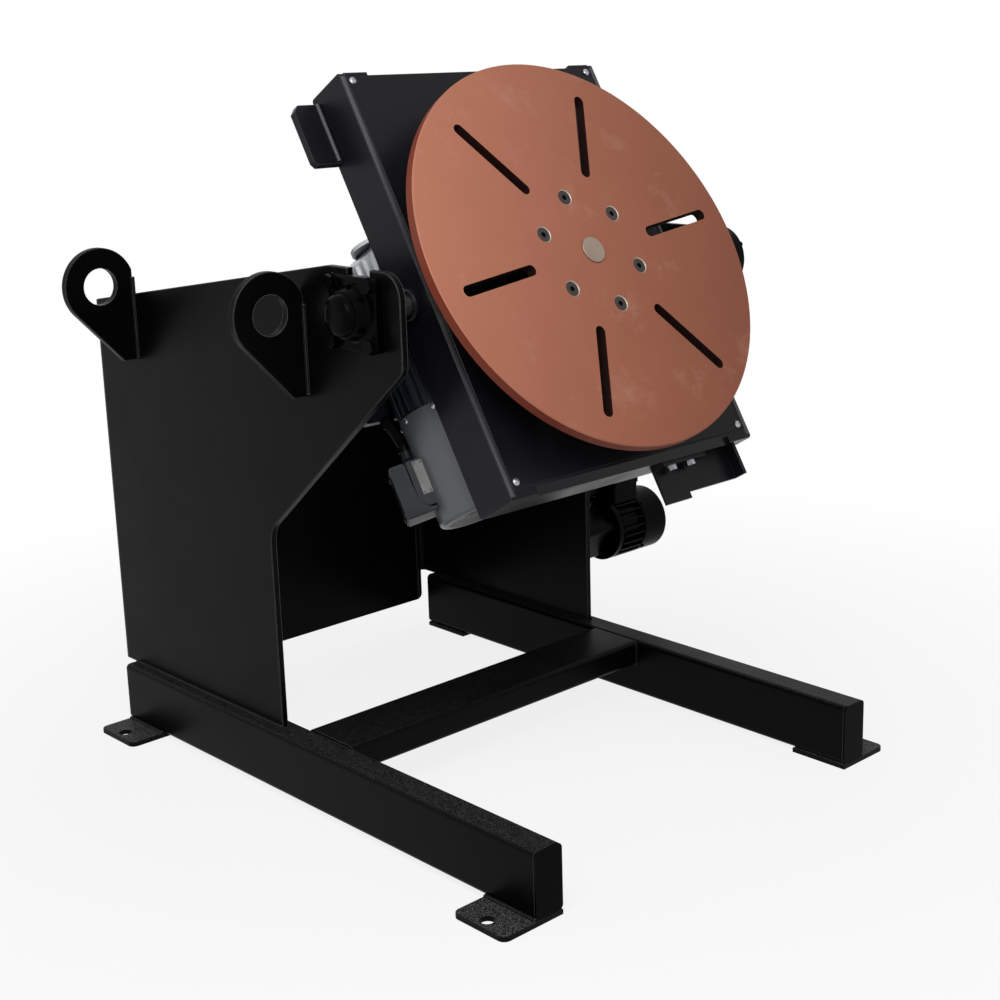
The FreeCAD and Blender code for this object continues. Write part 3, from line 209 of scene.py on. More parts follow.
# Sizes of the beads, as the radius of the rope that each is drawn as.
FOOT_BEAD, OUTER_BEAD, INNER_BEAD, CROSS_BEAD, PANEL_BEAD, LUG_BEAD = 3.6, 4.2, 3.6, 3.2, 3.0, 3.8
seams = bmesh.new()
for s in (-1, 1):
    for near, far in ((-FOOT_OUT, -FOOT_IN), (FOOT_IN, FOOT_OUT)):
        bead(seams, [(s * LEG_OUT, near, FOOT_TOP), (s * LEG_OUT, far, FOOT_TOP)], FOOT_BEAD)
    bead(seams, [(s * COLUMN_OUT, COLUMN_FRONT, LEG_TOP), (s * COLUMN_OUT, COLUMN_BACK, LEG_TOP)],
         OUTER_BEAD)
    bead(seams, [(s * COLUMN_IN, COLUMN_FRONT + 2, LEG_TOP), (s * COLUMN_IN, COLUMN_BACK, LEG_TOP)],
         INNER_BEAD)
    bead(seams, [(s * LEG_IN, CROSS_FRONT, CROSS_STOP), (s * LEG_IN, CROSS_FRONT, CROSS_LOW),
                 (s * LEG_IN, CROSS_BACK, CROSS_LOW), (s * LEG_IN, CROSS_BACK, CROSS_STOP)],
         CROSS_BEAD)
    bead(seams, [(s * PANEL_X, PANEL_Y, PANEL_LOW), (s * PANEL_X, PANEL_Y, PANEL_TOP)], PANEL_BEAD,
         ripple=7.0)
    for y in LUG_PLACES:
        for face in (y - LUG_HALF, y + LUG_HALF):
            bead(seams, [(s * COLUMN_OUT, face, LUG_LOW), (s * COLUMN_OUT, face, LUG_TOP)], LUG_BEAD)
piece("frame_welds", seams, black_enamel, "frame", smooth=60)


# ---------------------------------------------------------------------------------------------
# Left tilt bearing: a square four-bolt flange bearing of grey cast iron, with a pressed end cap
# and a grease nipple, painted black with the frame. Its bolts go through the column plate.
# ---------------------------------------------------------------------------------------------
def lathe(bm, base, along, profile, steps=48):
    """Turned solid about an axis from base: pairs of distance along it and radius."""
    along = Vector(along).normalized()
    side = along.orthogonal().normalized()
    other = along.cross(side)
    rings = []
    for far, radius in profile:
        middle = Vector(base) + along * far
        rings.append([middle + (side * math.cos(a) + other * math.sin(a)) * max(radius, 0.05)
                      for a in (2 * math.pi * i / steps for i in range(steps))])
    skin(bm, rings)


AXIS_Y, AXIS_Z = -172.0, 796.0
SEAT_X, FLANGE_HALF, FLANGE_CORNER, FLANGE_T = -349.0, 52.0, 9.0, 14.0
dress(iron_enamel, "bearing_bolts")
outline = []
for k, (toward_y, toward_z) in enumerate(((1, 1), (-1, 1), (-1, -1), (1, -1))):
    for step in range(7):
        a = math.radians(90 * k + 15 * step)
        outline.append((FLANGE_CORNER * math.cos(a) + (FLANGE_HALF - FLANGE_CORNER) * toward_y,
                        FLANGE_CORNER * math.sin(a) + (FLANGE_HALF - FLANGE_CORNER) * toward_z))
flange = bmesh.new()
skin(flange, [[Vector((SEAT_X - out, AXIS_Y + y * share, AXIS_Z + z * share)) for y, z in outline]
              for out, share in ((0, 1.0), (FLANGE_T - 1.2, 1.0), (FLANGE_T, 0.975))])
lathe(flange, (SEAT_X - FLANGE_T + 2, AXIS_Y, AXIS_Z), (-1, 0, 0),
      [(0, 43), (2, 41), (4, 38), (16, 34.5), (18.5, 33.5), (19.5, 31.5)])
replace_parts(piece("bearing_flange", flange, iron_enamel, "frame"), "bearing_housing")

CAP_X, NIPPLE_X, NIPPLE_UP = -378.0, -366.0, 33.0
cap = bmesh.new()
lathe(cap, (CAP_X, AXIS_Y, AXIS_Z), (-1, 0, 0),
      [(0, 30), (3, 30.5), (5, 29.6), (11, 28.6), (14.5, 25.5), (16, 18), (16.3, 0)])
lathe(cap, (NIPPLE_X, AXIS_Y, AXIS_Z + NIPPLE_UP), (-0.25, 0, 1),
      [(0, 4.5), (3, 4.5), (3.2, 2.8), (6, 2.8), (7.5, 3.6), (9.0, 3.6), (10.5, 2.2)], 16)
piece("bearing_cap", cap, iron_enamel, "frame")


# ---------------------------------------------------------------------------------------------
# Tilting box: two side plates, end rails and a screwed front cover of steel plate, welded up
# and enamelled. The stop ear, the lower bracket and the rails have weld seams, and the front
# edges of the side plates and the ear's seam carry a painted highlight in a paler, shinier enamel.
# ---------------------------------------------------------------------------------------------
TILT = math.radians(59.1)
AXIS_ABOVE = 4.3


def level(x, y, z):
    """Place in the frame of a point given with the table level and its centre at zero."""
    y -= AXIS_ABOVE
    return Vector((x, AXIS_Y + y * math.cos(TILT) - z * math.sin(TILT),
                   AXIS_Z + y * math.sin(TILT) + z * math.cos(TILT)))


def aim(x, y, z):
    """Direction given in the same way."""
    return Vector((x, y * math.cos(TILT) - z * math.sin(TILT),
                   y * math.sin(TILT) + z * math.cos(TILT))).normalized()


# Dark half-gloss enamel: a charcoal with a faint violet cast, and brighter streaks of light than
# the frame gives back.
box_enamel = enamel("box_enamel", "#151419", "#3c3a41", 0.34, 0.12, dust_and_lit_top_share=0.15, worn_and_lit_edge_colour="#4c4b4e")
dress(box_enamel, "box_side_left", "box_side_right", "top_rail", "bottom_rail", "front_cover",
      "spindle_carrier", "rear_plate", "lower_bracket", "stop_ear")
dress(black_enamel, "spindle_housing")

# The same enamel painted paler as a highlight: a mid grey with more shine.
painted_highlight_enamel = enamel("painted_highlight_enamel", "#4a494c", "#5a585c", 0.34, 0.35, dust_and_lit_top_share=0.2, worn_and_lit_edge_colour="#6a696c")
PLATE_MIDDLE, PLATE_FRONT, PLATE_LOW, PLATE_TOP = 253.0, 42.0, -309.0, 346.0
# Section of the strip that carries the painted highlight, across the front edge of a side plate.
LIP = ((-3.7, -0.2), (-3.2, 0.1), (3.2, 0.1), (3.9, -0.2), (4.4, -0.7), (0, -2.0))
lips = bmesh.new()
for s in (-1, 1):
    skin(lips, [[level(s * PLATE_MIDDLE + dx, y, PLATE_FRONT + dz) for dx, dz in LIP]
                for y in (PLATE_LOW, PLATE_TOP)])
piece("side_lips", lips, painted_highlight_enamel, "tilt_box")

SHELF_LEFT, SHELF_RIGHT, SHELF_Y, SHELF_Z = 70.0, 120.0, -315.0, 1.0
SIDE_IN, RAIL_FACES, SEAM_BACK, SEAM_FRONT, BOX_BEAD = 248.0, (-300.5, 337.5), -34.0, 12.0, 2.6
box_seams = bmesh.new()
bead(box_seams, [level(SHELF_LEFT, SHELF_Y, SHELF_Z), level(SHELF_RIGHT, SHELF_Y, SHELF_Z)], BOX_BEAD)
for s in (-1, 1):
    for y in RAIL_FACES:
        bead(box_seams, [level(s * SIDE_IN, y, SEAM_BACK), level(s * SIDE_IN, y, SEAM_FRONT)], BOX_BEAD)
piece("box_welds", box_seams, box_enamel, "tilt_box", smooth=60)

EAR_X, EAR_LOW, EAR_TOP, EAR_Z, EAR_BEAD = -262.0, 246.0, 338.0, -23.0, 3.4
ear_seam = bmesh.new()
bead(ear_seam, [level(EAR_X, EAR_LOW, EAR_Z), level(EAR_X, EAR_TOP, EAR_Z)], EAR_BEAD)
# The ear's seam is laid in the painted highlight enamel.
piece("ear_weld", ear_seam, painted_highlight_enamel, "tilt_box", smooth=60)


# ---------------------------------------------------------------------------------------------
# Bare machine parts: screws, shafts, gears and worm wheels of steel and bronze, turned, ground
# or plated and not painted. Four domed screws hold the front cover at its corners.
# ---------------------------------------------------------------------------------------------
def bright_metal(name, colour, rough, mark_mm=0.9):
    """Bare machined metal. Real tool marks are a few tenths of a millimetre apart, and they are
    drawn at mark_mm so that they show. Handling clouds the shine over some 35 mm."""
    mat = blank(name)
    place = add(mat, "TexCoord").outputs["Object"]
    fine = add(mat, "TexNoise", {"Scale": 1000 / mark_mm, "Detail": 2.0}, {"Vector": place})
    wide = add(mat, "TexNoise", {"Scale": 1000 / 35.0, "Detail": 3.0}, {"Vector": place})
    shade = add(mat, "MapRange", {"To Min": rough - 0.08, "To Max": rough + 0.12},
                {"Value": wide.outputs["Fac"]})
    pale = srgb(colour)
    dull = [c * 0.72 for c in pale[:3]] + [1.0]
    tone = add(mat, "MixRGB", {"Color1": pale, "Color2": dull}, {"Fac": wide.outputs["Fac"]})
    relief = add(mat, "Bump", {"Strength": 0.12, "Distance": 0.0002}, {"Height": fine.outputs["Fac"]})
    return close(mat, add(mat, "BsdfPrincipled", {"Metallic": 1.0},
                          {"Base Color": tone.outputs[0], "Roughness": shade.outputs[0],
                           "Normal": relief.outputs[0]}))


# Bright zinc plating: a pale, cool silver with a soft shine.
zinc = bright_metal("zinc_plated_steel", "#b4b6b9", 0.34)
dress(zinc, "bracket_bolts")
# Turned and ground steel: a warm mid grey.
turned = bright_metal("turned_steel", "#a8a39c", 0.36)
dress(turned, "spindle", "right_trunnion", "inclined_shaft", "pinion_shaft",
      "main_gear", "earth_ring", "bearing_inner_ring", "tilt_wheel", "rotation_rotor", "tilt_rotor")
# Heat-blackened and oiled steel: dark brown-grey screw heads in the table.
blackened = bright_metal("blackened_steel", "#4a4644", 0.42)
dress(blackened, "table_bolts")
# Cast and turned bronze: a dull yellow-brown.
bronze = bright_metal("bronze", "#b98a4a", 0.35)
dress(bronze, "rotation_wheel", "first_stage_wheel", "earth_brush")

SCREW_X, SCREW_LOW, SCREW_TOP, COVER_FRONT = 238.0, -290.0, 338.0, 41.8
cover_screws = bmesh.new()
for x in (-SCREW_X, SCREW_X):
    for y in (SCREW_LOW, SCREW_TOP):
        lathe(cover_screws, level(x, y, COVER_FRONT), aim(0, 0, 1),
              [(0, 5.6), (0.8, 5.8), (2.0, 5.2), (3.0, 3.8), (3.4, 2.4), (2.2, 2.2), (1.6, 0)], 28)
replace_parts(piece("cover_corner_screws", cover_screws, zinc, "tilt_box"), "cover_screws")


# ---------------------------------------------------------------------------------------------
# Left trunnion of the tilting box: a ground steel shaft in a short collar that is welded to the
# side plate and painted with it. The shaft runs through the bearing and ends under its cap.
# ---------------------------------------------------------------------------------------------
SIDE_X, SHAFT_R, SHAFT_L = -258.0, 15.0, 114.0
collar = bmesh.new()
lathe(collar, level(SIDE_X + 0.5, AXIS_ABOVE, 0), (-1, 0, 0), [(0, 23), (9, 23), (11, 21), (11.2, 12)])
piece("left_trunnion_collar", collar, box_enamel, "tilt_box")
journal = bmesh.new()
lathe(journal, level(SIDE_X - 2, AXIS_ABOVE, 0), (-1, 0, 0),
      [(0, SHAFT_R), (SHAFT_L, SHAFT_R), (SHAFT_L + 1.5, SHAFT_R - 1.5)])
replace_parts(piece("left_trunnion_shaft", journal, turned, "tilt_box"), "left_trunnion")


# ---------------------------------------------------------------------------------------------
# Table: a turned steel disc with six milled slots, under a thin red-brown rust-proof coat that
# was brushed on by hand. Six countersunk screws hold it to the spindle's flange.
# ---------------------------------------------------------------------------------------------
# Red-brown rust-proof coat: a flat clay colour, paler in worn patches and painted paler towards
# one side as a painted gradient of light. Painted shade darkens the rim and turns the slots
# nearly black. The screw sinks are bare bright steel. Clouds are some 160 mm across and patches
# 70 mm. The grain of a thin brushed coat is finer than a millimetre, and it is drawn at 2.2 mm
# so that it shows.
TABLE_FACE = 124.0
BROAD_MM, PATCH_MM, GRAIN_MM = 160.0, 70.0, 2.2
# Metres from the table's axis. Steep faces within the first are slot walls, and beyond it the
# rim. Cones within the second are the screw sinks.
SLOT_REACH, SINK_REACH = 0.304, 0.120
table_coat = blank("red_brown_rust_proof_coat")
at = add(table_coat, "TexCoord")
spread = add(table_coat, "VectorMath", {1: level(0, 0, TABLE_FACE) / 1000}, {0: at.outputs["Object"]},
             operation="SUBTRACT")
# Painted light: the coat is painted paler towards its upper left, where light falls on the table.
toward_lit_side = add(table_coat, "VectorMath", {1: aim(-0.85, 0.53, 0)}, {0: spread.outputs[0]},
              operation="DOT_PRODUCT")
painted_light_gradient = add(table_coat, "MapRange", {"From Min": -0.34, "From Max": 0.30},
           {"Value": toward_lit_side.outputs["Value"]})
clouds = add(table_coat, "TexNoise", {"Scale": 1000 / BROAD_MM, "Detail": 5.0, "Roughness": 0.62},
             {"Vector": at.outputs["Object"]})
patch = add(table_coat, "TexNoise", {"Scale": 1000 / PATCH_MM, "Detail": 7.0, "Roughness": 0.72},
            {"Vector": at.outputs["Object"]})
share = add(table_coat, "Math", {1: 0.5}, {0: clouds.outputs["Fac"], 2: painted_light_gradient.outputs[0]},
            operation="MULTIPLY_ADD")
share = add(table_coat, "MapRange", {"From Min": 0.1, "From Max": 1.25}, {"Value": share.outputs[0]})
worn = add(table_coat, "MapRange", {"From Min": 0.56, "From Max": 0.72, "To Max": 0.4},
           {"Value": patch.outputs["Fac"]})
base = add(table_coat, "MixRGB", {"Color1": srgb("#8e513b"), "Color2": srgb("#b9775f")},
           {"Fac": share.outputs[0]})
coat = add(table_coat, "MixRGB", {"Color2": srgb("#c48f7b")},
           {"Fac": worn.outputs[0], "Color1": base.outputs[0]})
off_axis = add(table_coat, "VectorMath", {1: aim(0, 0, 1)}, {0: spread.outputs[0]},
               operation="CROSS_PRODUCT")
radius = add(table_coat, "VectorMath", links={0: off_axis.outputs[0]}, operation="LENGTH")
facing = add(table_coat, "VectorMath", {1: aim(0, 0, 1)}, {0: at.outputs["Normal"]},
             operation="DOT_PRODUCT")
# Painted shade: steep faces are darkened, the rim a little and the slot walls nearly to black.
wall = add(table_coat, "MapRange", {"From Min": 0.4, "From Max": 0.2}, {"Value": facing.outputs["Value"]})
inner = add(table_coat, "MapRange", {"From Min": SLOT_REACH, "From Max": SLOT_REACH - 0.002},
            {"Value": radius.outputs["Value"]})
slot_shade = add(table_coat, "Math", links={0: wall.outputs[0], 1: inner.outputs[0]}, operation="MULTIPLY")
steep_face_shade = add(table_coat, "MixRGB", {"Color1": srgb("#ffffff"), "Color2": srgb("#b08478")},
          {"Fac": wall.outputs[0]})
coat = add(table_coat, "MixRGB", {"Fac": 1.0}, {"Color1": coat.outputs[0], "Color2": steep_face_shade.outputs[0]},
           blend_type="MULTIPLY")
coat = add(table_coat, "MixRGB", {"Color2": srgb("#24120f")},
           {"Fac": slot_shade.outputs[0], "Color1": coat.outputs[0]})
cone = add(table_coat, "MapRange", {"From Min": 0.88, "From Max": 0.8}, {"Value": facing.outputs["Value"]})
hub = add(table_coat, "MapRange", {"From Min": SINK_REACH, "From Max": SINK_REACH - 0.002},
          {"Value": radius.outputs["Value"]})
sunk = add(table_coat, "Math", links={0: cone.outputs[0], 1: hub.outputs[0]}, operation="MULTIPLY")
coat = add(table_coat, "MixRGB", {"Color2": srgb("#b5aca4")},
           {"Fac": sunk.outputs[0], "Color1": coat.outputs[0]})
grain = add(table_coat, "TexNoise", {"Scale": 1000 / GRAIN_MM, "Detail": 3.0},
            {"Vector": at.outputs["Object"]})
lay = add(table_coat, "Bump", {"Strength": 0.16, "Distance": 0.0003}, {"Height": grain.outputs["Fac"]})
flat = add(table_coat, "MapRange", {"To Min": 0.5, "To Max": 0.68}, {"Value": clouds.outputs["Fac"]})
close(table_coat, add(table_coat, "BsdfPrincipled", {"Specular IOR Level": 0.2},
                      {"Base Color": coat.outputs[0], "Metallic": sunk.outputs[0],
                       "Roughness": flat.outputs[0], "Normal": lay.outputs[0]}))
dress(table_coat, "table_disc")


# ---------------------------------------------------------------------------------------------
# Spindle nose: the faced end of the spindle in the middle of the table, with a small centre
# drilling left from the lathe.
# ---------------------------------------------------------------------------------------------
# Faced steel: a dull warm grey, since the facing cut was never polished.
nose_steel = bright_metal("faced_steel", "#a39385", 0.5)
nose = bmesh.new()
lathe(nose, level(0, 0, TABLE_FACE - 0.2), aim(0, 0, 1),
      [(0, 20.4), (2.3, 20.4), (3.0, 19.8), (3.0, 1.8), (2.2, 0.8), (2.1, 0)], 64)
piece("spindle_nose_face", nose, nose_steel, "table")


# ---------------------------------------------------------------------------------------------
# Rotation drive: a worm gear unit in a die-cast aluminium case and a finned motor with a pressed
# sheet cowl over its fan, bolted together in line under the box.
# ---------------------------------------------------------------------------------------------
# Bead-blasted aluminium: a pale even silver with a satin sheen.
cast = bright_metal("blasted_aluminium", "#cfd1d3", 0.42)
dress(cast, "rotation_gear_case")
# Sprayed motor paint: a dark blue-grey with a clear shine along the fins.
motor_paint = enamel("motor_enamel", "#1c222a", "#3a3f48", 0.32, 0.5, worn_and_lit_edge_colour="#4a515b")
dress(motor_paint, "rotation_motor")
# Sprayed paint on pressed sheet: a mid grey with a broad, soft highlight down the cowl.
cowl_paint = enamel("cowl_enamel", "#505357", "#707070", 0.34, 0.55, dust_and_lit_top_share=0.1, worn_and_lit_edge_colour="#7c7d80")
dress(cowl_paint, "rotation_cowl")


# ---------------------------------------------------------------------------------------------
# Terminal box of the rotation motor: a cast base with a cable gland, a rubber seal and a deep
# lid that wraps round its lower end, held by four screws. It stands off the cowl at a slant.
# ---------------------------------------------------------------------------------------------
# The box's paint: nearly black with a green-blue cast, flatter than the motor's.
terminal_paint = enamel("terminal_enamel", "#14181c", "#2a2f33", 0.36, 0.12, dust_and_lit_top_share=0.12, worn_and_lit_edge_colour="#373c40")
# Moulded nitrile rubber: a dull dark black that no edge brightens.
rubber = enamel("moulded_rubber", "#0c0c0c", "#1c1c1c", 0.7, 0.1, dust_and_lit_top_share=0.1, worn_and_lit_edge_colour="#0c0c0c")
MOTOR_X, MOTOR_Z = -186.0, -105.0
LEAN = math.radians(214)


def slant(reach, y, side):
    """Point of the terminal box: out from the motor's axis, along it, and across."""
    return level(MOTOR_X + reach * math.cos(LEAN) + side * math.sin(LEAN), y,
                 MOTOR_Z + reach * math.sin(LEAN) - side * math.cos(LEAN))


def moulding(bm, corners, half, ease):
    """Block with an outline of reach and place along the motor, eased at its edges."""
    before = set(bm.edges)
    skin(bm, [[slant(reach, y, side) for reach, y in corners] for side in (-half, half)])
    fresh = [e for e in bm.edges if e not in before]
    bmesh.ops.bevel(bm, geom=fresh, offset=ease, segments=2, affect="EDGES")


BASE_REACH, BASE_TOP, BASE_L, BASE_HALF, SEAM_REACH = 58.0, -187.0, 71.0, 32.0, 86.0
SEAL_REACH, SEAL_END, SEAL_HALF = 70.0, BASE_TOP - 74, 28.0
seal = bmesh.new()
moulding(seal, [(SEAL_REACH, BASE_TOP - 3), (SEAM_REACH + 2, BASE_TOP - 3),
                (SEAM_REACH + 2, BASE_TOP - 62), (SEAM_REACH - 9, SEAL_END),
                (SEAL_REACH, SEAL_END)], SEAL_HALF, ease=0.5)
piece("terminal_seal", seal, rubber, "tilt_box")
# Each eased block is made last in its mesh, so that the faces come in the same order each run.
GLAND_REACH = 76.0
base = bmesh.new()
lathe(base, slant(GLAND_REACH, BASE_TOP - 2, 0), aim(0, 1, 0), [(0, 9.0), (24, 9.0)], 24)
lathe(base, slant(GLAND_REACH, BASE_TOP, 0), aim(0, 1, 0), [(0, 10.5), (9, 10.5), (10, 9.6)], 6)
moulding(base, [(BASE_REACH, BASE_TOP), (SEAM_REACH - 1.5, BASE_TOP),
                (SEAM_REACH - 1.5, BASE_TOP - 60), (SEAM_REACH - 11, BASE_TOP - BASE_L),
                (BASE_REACH, BASE_TOP - BASE_L)], BASE_HALF, ease=1.2)
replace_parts(piece("terminal_base", base, terminal_paint, "tilt_box"), "terminal_box")

LID_REACH, LID_END, LID_HALF, SKIRT_REACH, SKIRT_T = 111.0, -268.0, 33.0, 64.0, 7.0
LID_SCREW_SIDE, LID_SCREW_IN = 25.0, 9.0
lid = bmesh.new()
for y in (BASE_TOP - LID_SCREW_IN, LID_END + LID_SCREW_IN):
    for side in (-LID_SCREW_SIDE, LID_SCREW_SIDE):
        lathe(lid, slant(LID_REACH - 1, y, side), slant(1, 0, 0) - slant(0, 0, 0),
              [(0, 3.4), (2.2, 3.4), (2.8, 2.6), (2.0, 2.2), (2.0, 0)], 16)
moulding(lid, [(SEAM_REACH + 1, BASE_TOP), (LID_REACH, BASE_TOP), (LID_REACH, LID_END),
               (SKIRT_REACH, LID_END), (SKIRT_REACH, LID_END + SKIRT_T),
               (SEAM_REACH - 9, LID_END + SKIRT_T), (SEAM_REACH + 1, BASE_TOP - 61)],
         LID_HALF, ease=2.0)
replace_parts(piece("terminal_cover", lid, terminal_paint, "tilt_box"), "terminal_lid")


# ---------------------------------------------------------------------------------------------
# Name plate of the rotation motor: a thin sheet of anodised aluminium with nothing on it, held
# by four rivets on the left side of the terminal box's base.
# ---------------------------------------------------------------------------------------------
# Anodised aluminium, with its grain drawn at 2.5 mm: a matt, even mid grey.
nameplate = bright_metal("anodised_plate", "#6a6b69", 0.6, mark_mm=2.5)
TAG_TOP, TAG_END, TAG_IN, TAG_OUT = -190.0, -241.0, 61.0, 76.0
TAG_BACK, TAG_FRONT, RIVET_IN = 31.8, 32.7, 3.0
tag = bmesh.new()
skin(tag, [[slant(reach, y, side) for reach, y in ((TAG_IN, TAG_TOP), (TAG_OUT, TAG_TOP),
                                                   (TAG_OUT, TAG_END), (TAG_IN, TAG_END))]
           for side in (TAG_BACK, TAG_FRONT)])
for y in (TAG_TOP - RIVET_IN, TAG_END + RIVET_IN):
    for reach in (TAG_IN + RIVET_IN, TAG_OUT - RIVET_IN):
        lathe(tag, slant(reach, y, 32.5), slant(0, 0, 1) - slant(0, 0, 0),
              [(0, 1.6), (0.8, 1.6), (1.3, 1.0), (1.4, 0)], 12)
piece("motor_plate", tag, nameplate, "tilt_box")


# ---------------------------------------------------------------------------------------------
# Screws of the rotation drive, all zinc plated: round heads in the cowl and in the motor's
# flange, and hexagon heads on the side and the end of the gear case.
# ---------------------------------------------------------------------------------------------
def hex_screw(bm, base, along, across, height, turn=0.0):
    """Hexagon head with chamfered corners, standing on its washer face."""
    along = Vector(along).normalized()
    side = Matrix.Rotation(turn, 3, along) @ along.orthogonal().normalized()
    other = along.cross(side)
    corner = across / math.sqrt(3)
    lathe(bm, base, along, [(0, across * 0.47), (0.6, across * 0.47)], 24)
    rings = []
    for far, share in ((0.6, 1.0), (height - 1.0, 1.0), (height, 0.84)):
        middle = Vector(base) + along * far
        rings.append([middle + (side * math.cos(a) + other * math.sin(a)) * corner * share
                      for a in (math.radians(60 * i) for i in range(6))])
    skin(bm, rings)


def round_motor(angle, y, radius):
    """Point at an angle round the rotation motor's axis, in the level frame."""
    return (MOTOR_X + radius * math.cos(math.radians(angle)), y,
            MOTOR_Z + radius * math.sin(math.radians(angle)))


def outward(angle):
    """Direction away from the motor's axis at that angle."""
    return aim(math.cos(math.radians(angle)), 0, math.sin(math.radians(angle)))


COWL_R, COWL_ROW, FLANGE_ROW, CASE_SIDE, CASE_END = 69.0, -131.0, -25.0, -216.5, 140.0
screws = bmesh.new()
for angle in (95, 140, 186, 230, 275):
    lathe(screws, level(*round_motor(angle, COWL_ROW, COWL_R - 0.5)), outward(angle),
          [(0, 4.2), (1.4, 4.2), (2.8, 3.0), (3.2, 0)], 16)
for angle in (150, 195, 240):
    lathe(screws, level(*round_motor(angle, FLANGE_ROW, COWL_R - 0.5)), outward(angle),
          [(0, 4.6), (1.4, 4.6), (3.0, 3.2), (3.4, 0)], 16)
for y in (30.0, 95.0):
    for z in (-135.0, -75.0):
        hex_screw(screws, level(CASE_SIDE, y, z), aim(-1, 0, 0), across=13.0, height=5.5, turn=0.3)
for x, z in ((-209, -82), (-163, -82), (-209, -128), (-163, -128)):
    hex_screw(screws, level(x, CASE_END, z), aim(0, 1, 0), across=10.0, height=5.0, turn=0.2)
piece("drive_screws", screws, zinc, "tilt_box")


# ---------------------------------------------------------------------------------------------
# Steel conduit between the terminal box gland and the motor's foot plate: a short ribbed black
# jacket, with a nut at each end that holds it.
# ---------------------------------------------------------------------------------------------
def pipe(bm, points, radius, steps, rib):
    """Round pipe through a row of points, with a raised rib at every other one."""
    side = None
    rings = []
    for k, point in enumerate(points):
        along = (points[min(k + 1, len(points) - 1)] - points[max(k - 1, 0)]).normalized()
        if side is None:
            side = along.orthogonal().normalized()
        side = (side - along * side.dot(along)).normalized()
        other = along.cross(side)
        here = radius + (rib if k % 2 == 0 else 0.0)
        rings.append([point + (side * math.cos(a) + other * math.sin(a)) * here
                      for a in (2 * math.pi * i / steps for i in range(steps))])
    skin(bm, rings)


GLAND_END, LEAVES, ENTERS, FOOT_END = (Vector((-249, -165, -147.5)), Vector((-249, -148, -147.5)),
                                       Vector((-250, -128, -152)), Vector((-246, -112, -166)))
TURNS, JACKET_R, RIB = 48, 7.6, 0.9
route = []
for k in range(TURNS + 1):
    t = k / TURNS
    spot = (GLAND_END * (1 - t) ** 3 + LEAVES * 3 * t * (1 - t) ** 2
            + ENTERS * 3 * t * t * (1 - t) + FOOT_END * t ** 3)
    route.append(level(*spot))
conduit = bmesh.new()
pipe(conduit, route, JACKET_R, 20, RIB)
lathe(conduit, route[0], route[1] - route[0], [(-1, 10.5), (7, 10.5), (8.5, 9.0)], 20)
lathe(conduit, route[-1], route[-2] - route[-1], [(-3, 11.5), (6, 11.5), (7.5, 9.5)], 6)
piece("motor_conduit", conduit, iron_enamel, "tilt_box")


# ---------------------------------------------------------------------------------------------
# Tilt drive: two cast iron gear cases with a guard tube between them and a small finned motor,
# bolted to the right column and painted black. Four round-headed screws hold the cowl, and
# each gear case has a hexagon oil plug.
# ---------------------------------------------------------------------------------------------
dress(iron_enamel, "tilt_case_bolts", "tilt_gear_case", "tilt_case_cover", "first_stage_case",
      "tilt_motor", "tilt_cowl", "tilt_terminal_box")
dress(black_enamel, "drive_tube")
COWL_MIDDLE, TILT_COWL_R = Vector((508, 140, 255)), 59.6
UPPER_PLUG, LOWER_PLUG = (419, AXIS_Y, AXIS_Z), (430, 215, 262)
fixings = bmesh.new()
for angle in (45, 135, 225, 315):
    out = Vector((0, math.cos(math.radians(angle)), math.sin(math.radians(angle))))
    lathe(fixings, COWL_MIDDLE + out * TILT_COWL_R, out, [(0, 4.2), (1.4, 4.2), (2.8, 3.0), (3.2, 0)], 16)
hex_screw(fixings, UPPER_PLUG, (1, 0, 0), across=17.0, height=7.0)
hex_screw(fixings, LOWER_PLUG, (1, 0, 0), across=15.0, height=6.0, turn=0.4)
piece("tilt_drive_screws", fixings, iron_enamel, "frame")


# ---------------------------------------------------------------------------------------------
# Stop pad: a block of moulded rubber on the left column's stop bracket, where the box's ear
# comes to rest with the table level.
# ---------------------------------------------------------------------------------------------
dress(rubber, "stop_pad")


# ---------------------------------------------------------------------------------------------
# Studio floor: a pale floor that keeps a faint shadow under the positioner and fades to white
# further off. Only rays that look at it find it so white. It lights the object as pale paint.
# ---------------------------------------------------------------------------------------------
FLOOR_HALF, FADE_START, FADE_END = 30, 0.6, 1.8
mesh = bpy.data.meshes.new("floor")
mesh.from_pydata([(-FLOOR_HALF, -FLOOR_HALF, 0), (FLOOR_HALF, -FLOOR_HALF, 0),
                  (FLOOR_HALF, FLOOR_HALF, 0), (-FLOOR_HALF, FLOOR_HALF, 0)], [], [(0, 1, 2, 3)])
floor = bpy.data.objects.new("floor", mesh)
bpy.context.collection.objects.link(floor)
pale = blank("pale_floor")
mesh.materials.append(pale)
spot = add(pale, "TexCoord").outputs["Object"]
away = add(pale, "VectorMath", links={0: spot}, operation="LENGTH")
fade = add(pale, "MapRange", {"From Min": FADE_START, "From Max": FADE_END, "To Min": 0.84,
                              "To Max": 1.0}, {"Value": away.outputs["Value"]})


def seen(mat):
    """One where a ray comes from the camera or off metal or glass, and nothing where it lights."""
    rays = add(mat, "LightPath")
    either = add(mat, "Math", links={0: rays.outputs["Is Camera Ray"], 1: rays.outputs["Is Glossy Ray"]},
                 operation="MAXIMUM")
    return add(mat, "Math", links={0: either.outputs[0], 1: rays.outputs["Is Transmission Ray"]},
               operation="MAXIMUM").outputs[0]


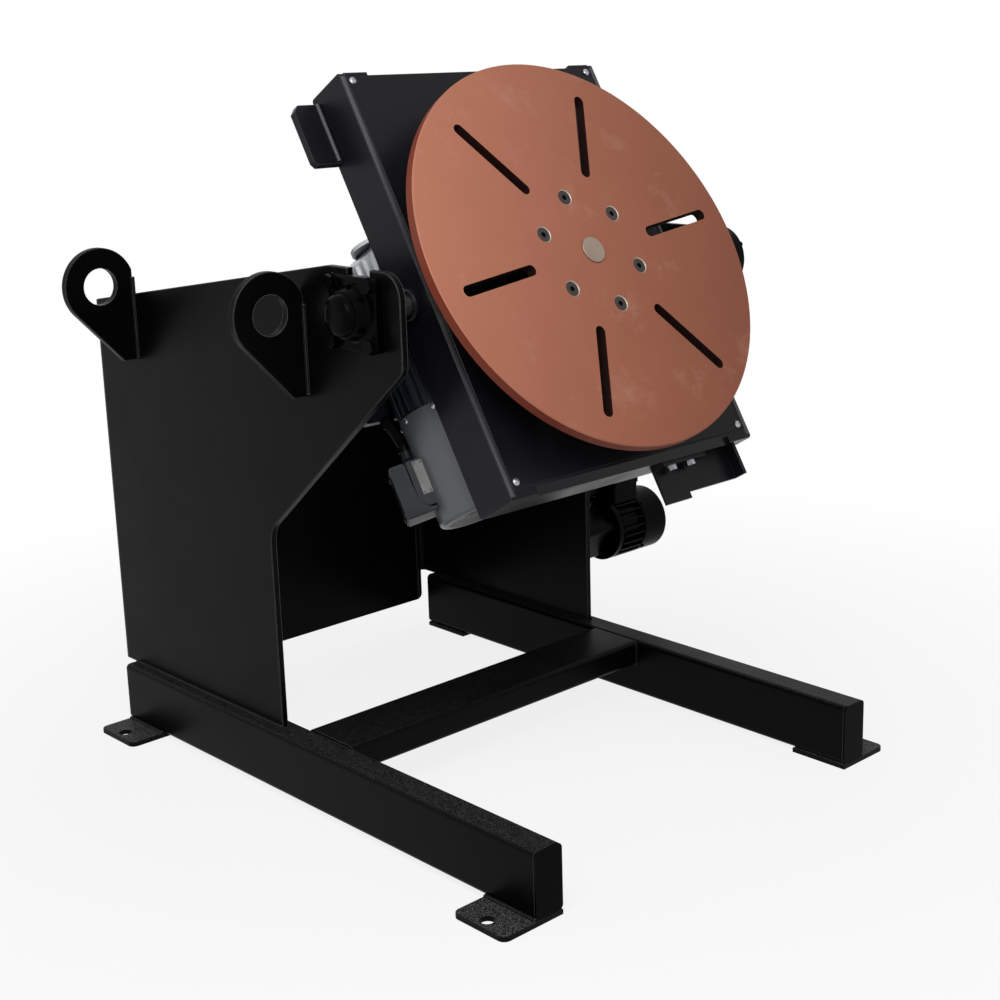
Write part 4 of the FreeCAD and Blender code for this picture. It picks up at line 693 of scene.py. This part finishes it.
share = add(pale, "Math", links={0: fade.outputs[0], 1: seen(pale)}, operation="MULTIPLY")
painted = add(pale, "BsdfPrincipled", {"Base Color": srgb("#f6f6f6"), "Roughness": 0.9,
                                       "Specular IOR Level": 0.1})
white = add(pale, "Emission", {"Color": srgb("#ffffff"), "Strength": 1.0})
close(pale, add(pale, "MixShader", links={0: share.outputs[0], 1: painted.outputs[0],
                                          2: white.outputs[0]}))


# ---------------------------------------------------------------------------------------------
# Studio light: an even world that looks white and lights softly, and one broad lamp above the
# positioner's front left corner that puts the highlights on its enamel.
# ---------------------------------------------------------------------------------------------
WORLD_LIGHT, LAMP_WATTS, LAMP_SIZE = 0.34, 15, 0.9
LAMP_PLACE, LAMP_TARGET = Vector((-1.0, -1.0, 1.75)), Vector((-0.05, -0.25, 0.85))
world = bpy.data.worlds.new("studio")
bpy.context.scene.world = world
world.use_nodes = True
world.node_tree.nodes.clear()
strength = add(world, "MapRange", {"To Min": WORLD_LIGHT, "To Max": 1.0}, {"Value": seen(world)})
sky = add(world, "Background", {"Color": srgb("#ffffff")}, {"Strength": strength.outputs[0]})
add(world, "OutputWorld", links={"Surface": sky.outputs[0]})
lamp = bpy.data.lights.new("key", "AREA")
lamp.energy = LAMP_WATTS
lamp.size = LAMP_SIZE
key = bpy.data.objects.new("key", lamp)
key.location = LAMP_PLACE
key.rotation_euler = (LAMP_TARGET - LAMP_PLACE).to_track_quat("-Z", "Y").to_euler()
bpy.context.collection.objects.link(key)


# ---------------------------------------------------------------------------------------------
# Camera: at the front left, about as high as the table's top edge, looking slightly down. The
# shift only sets the framing.
# ---------------------------------------------------------------------------------------------
EYE_PLACE, EYE_TURN, EYE_DOWN, EYE_ROLL = (-1.7581, -2.0078, 1.1506), -44.34, 14.37, -1.13
lens = bpy.data.cameras.new("camera")
lens.lens = 60.43
lens.sensor_width = 36
lens.shift_x = -0.063
lens.shift_y = -0.0268
lens.clip_end = 100
eye = bpy.data.objects.new("camera", lens)
eye.matrix_world = (Matrix.Translation(EYE_PLACE)
                    @ Matrix.Rotation(math.radians(EYE_TURN), 4, "Z")
                    @ Matrix.Rotation(math.radians(90 - EYE_DOWN), 4, "X")
                    @ Matrix.Rotation(math.radians(EYE_ROLL), 4, "Z"))
bpy.context.collection.objects.link(eye)
bpy.context.scene.camera = eye
bpy.context.scene.view_settings.view_transform = "Standard"
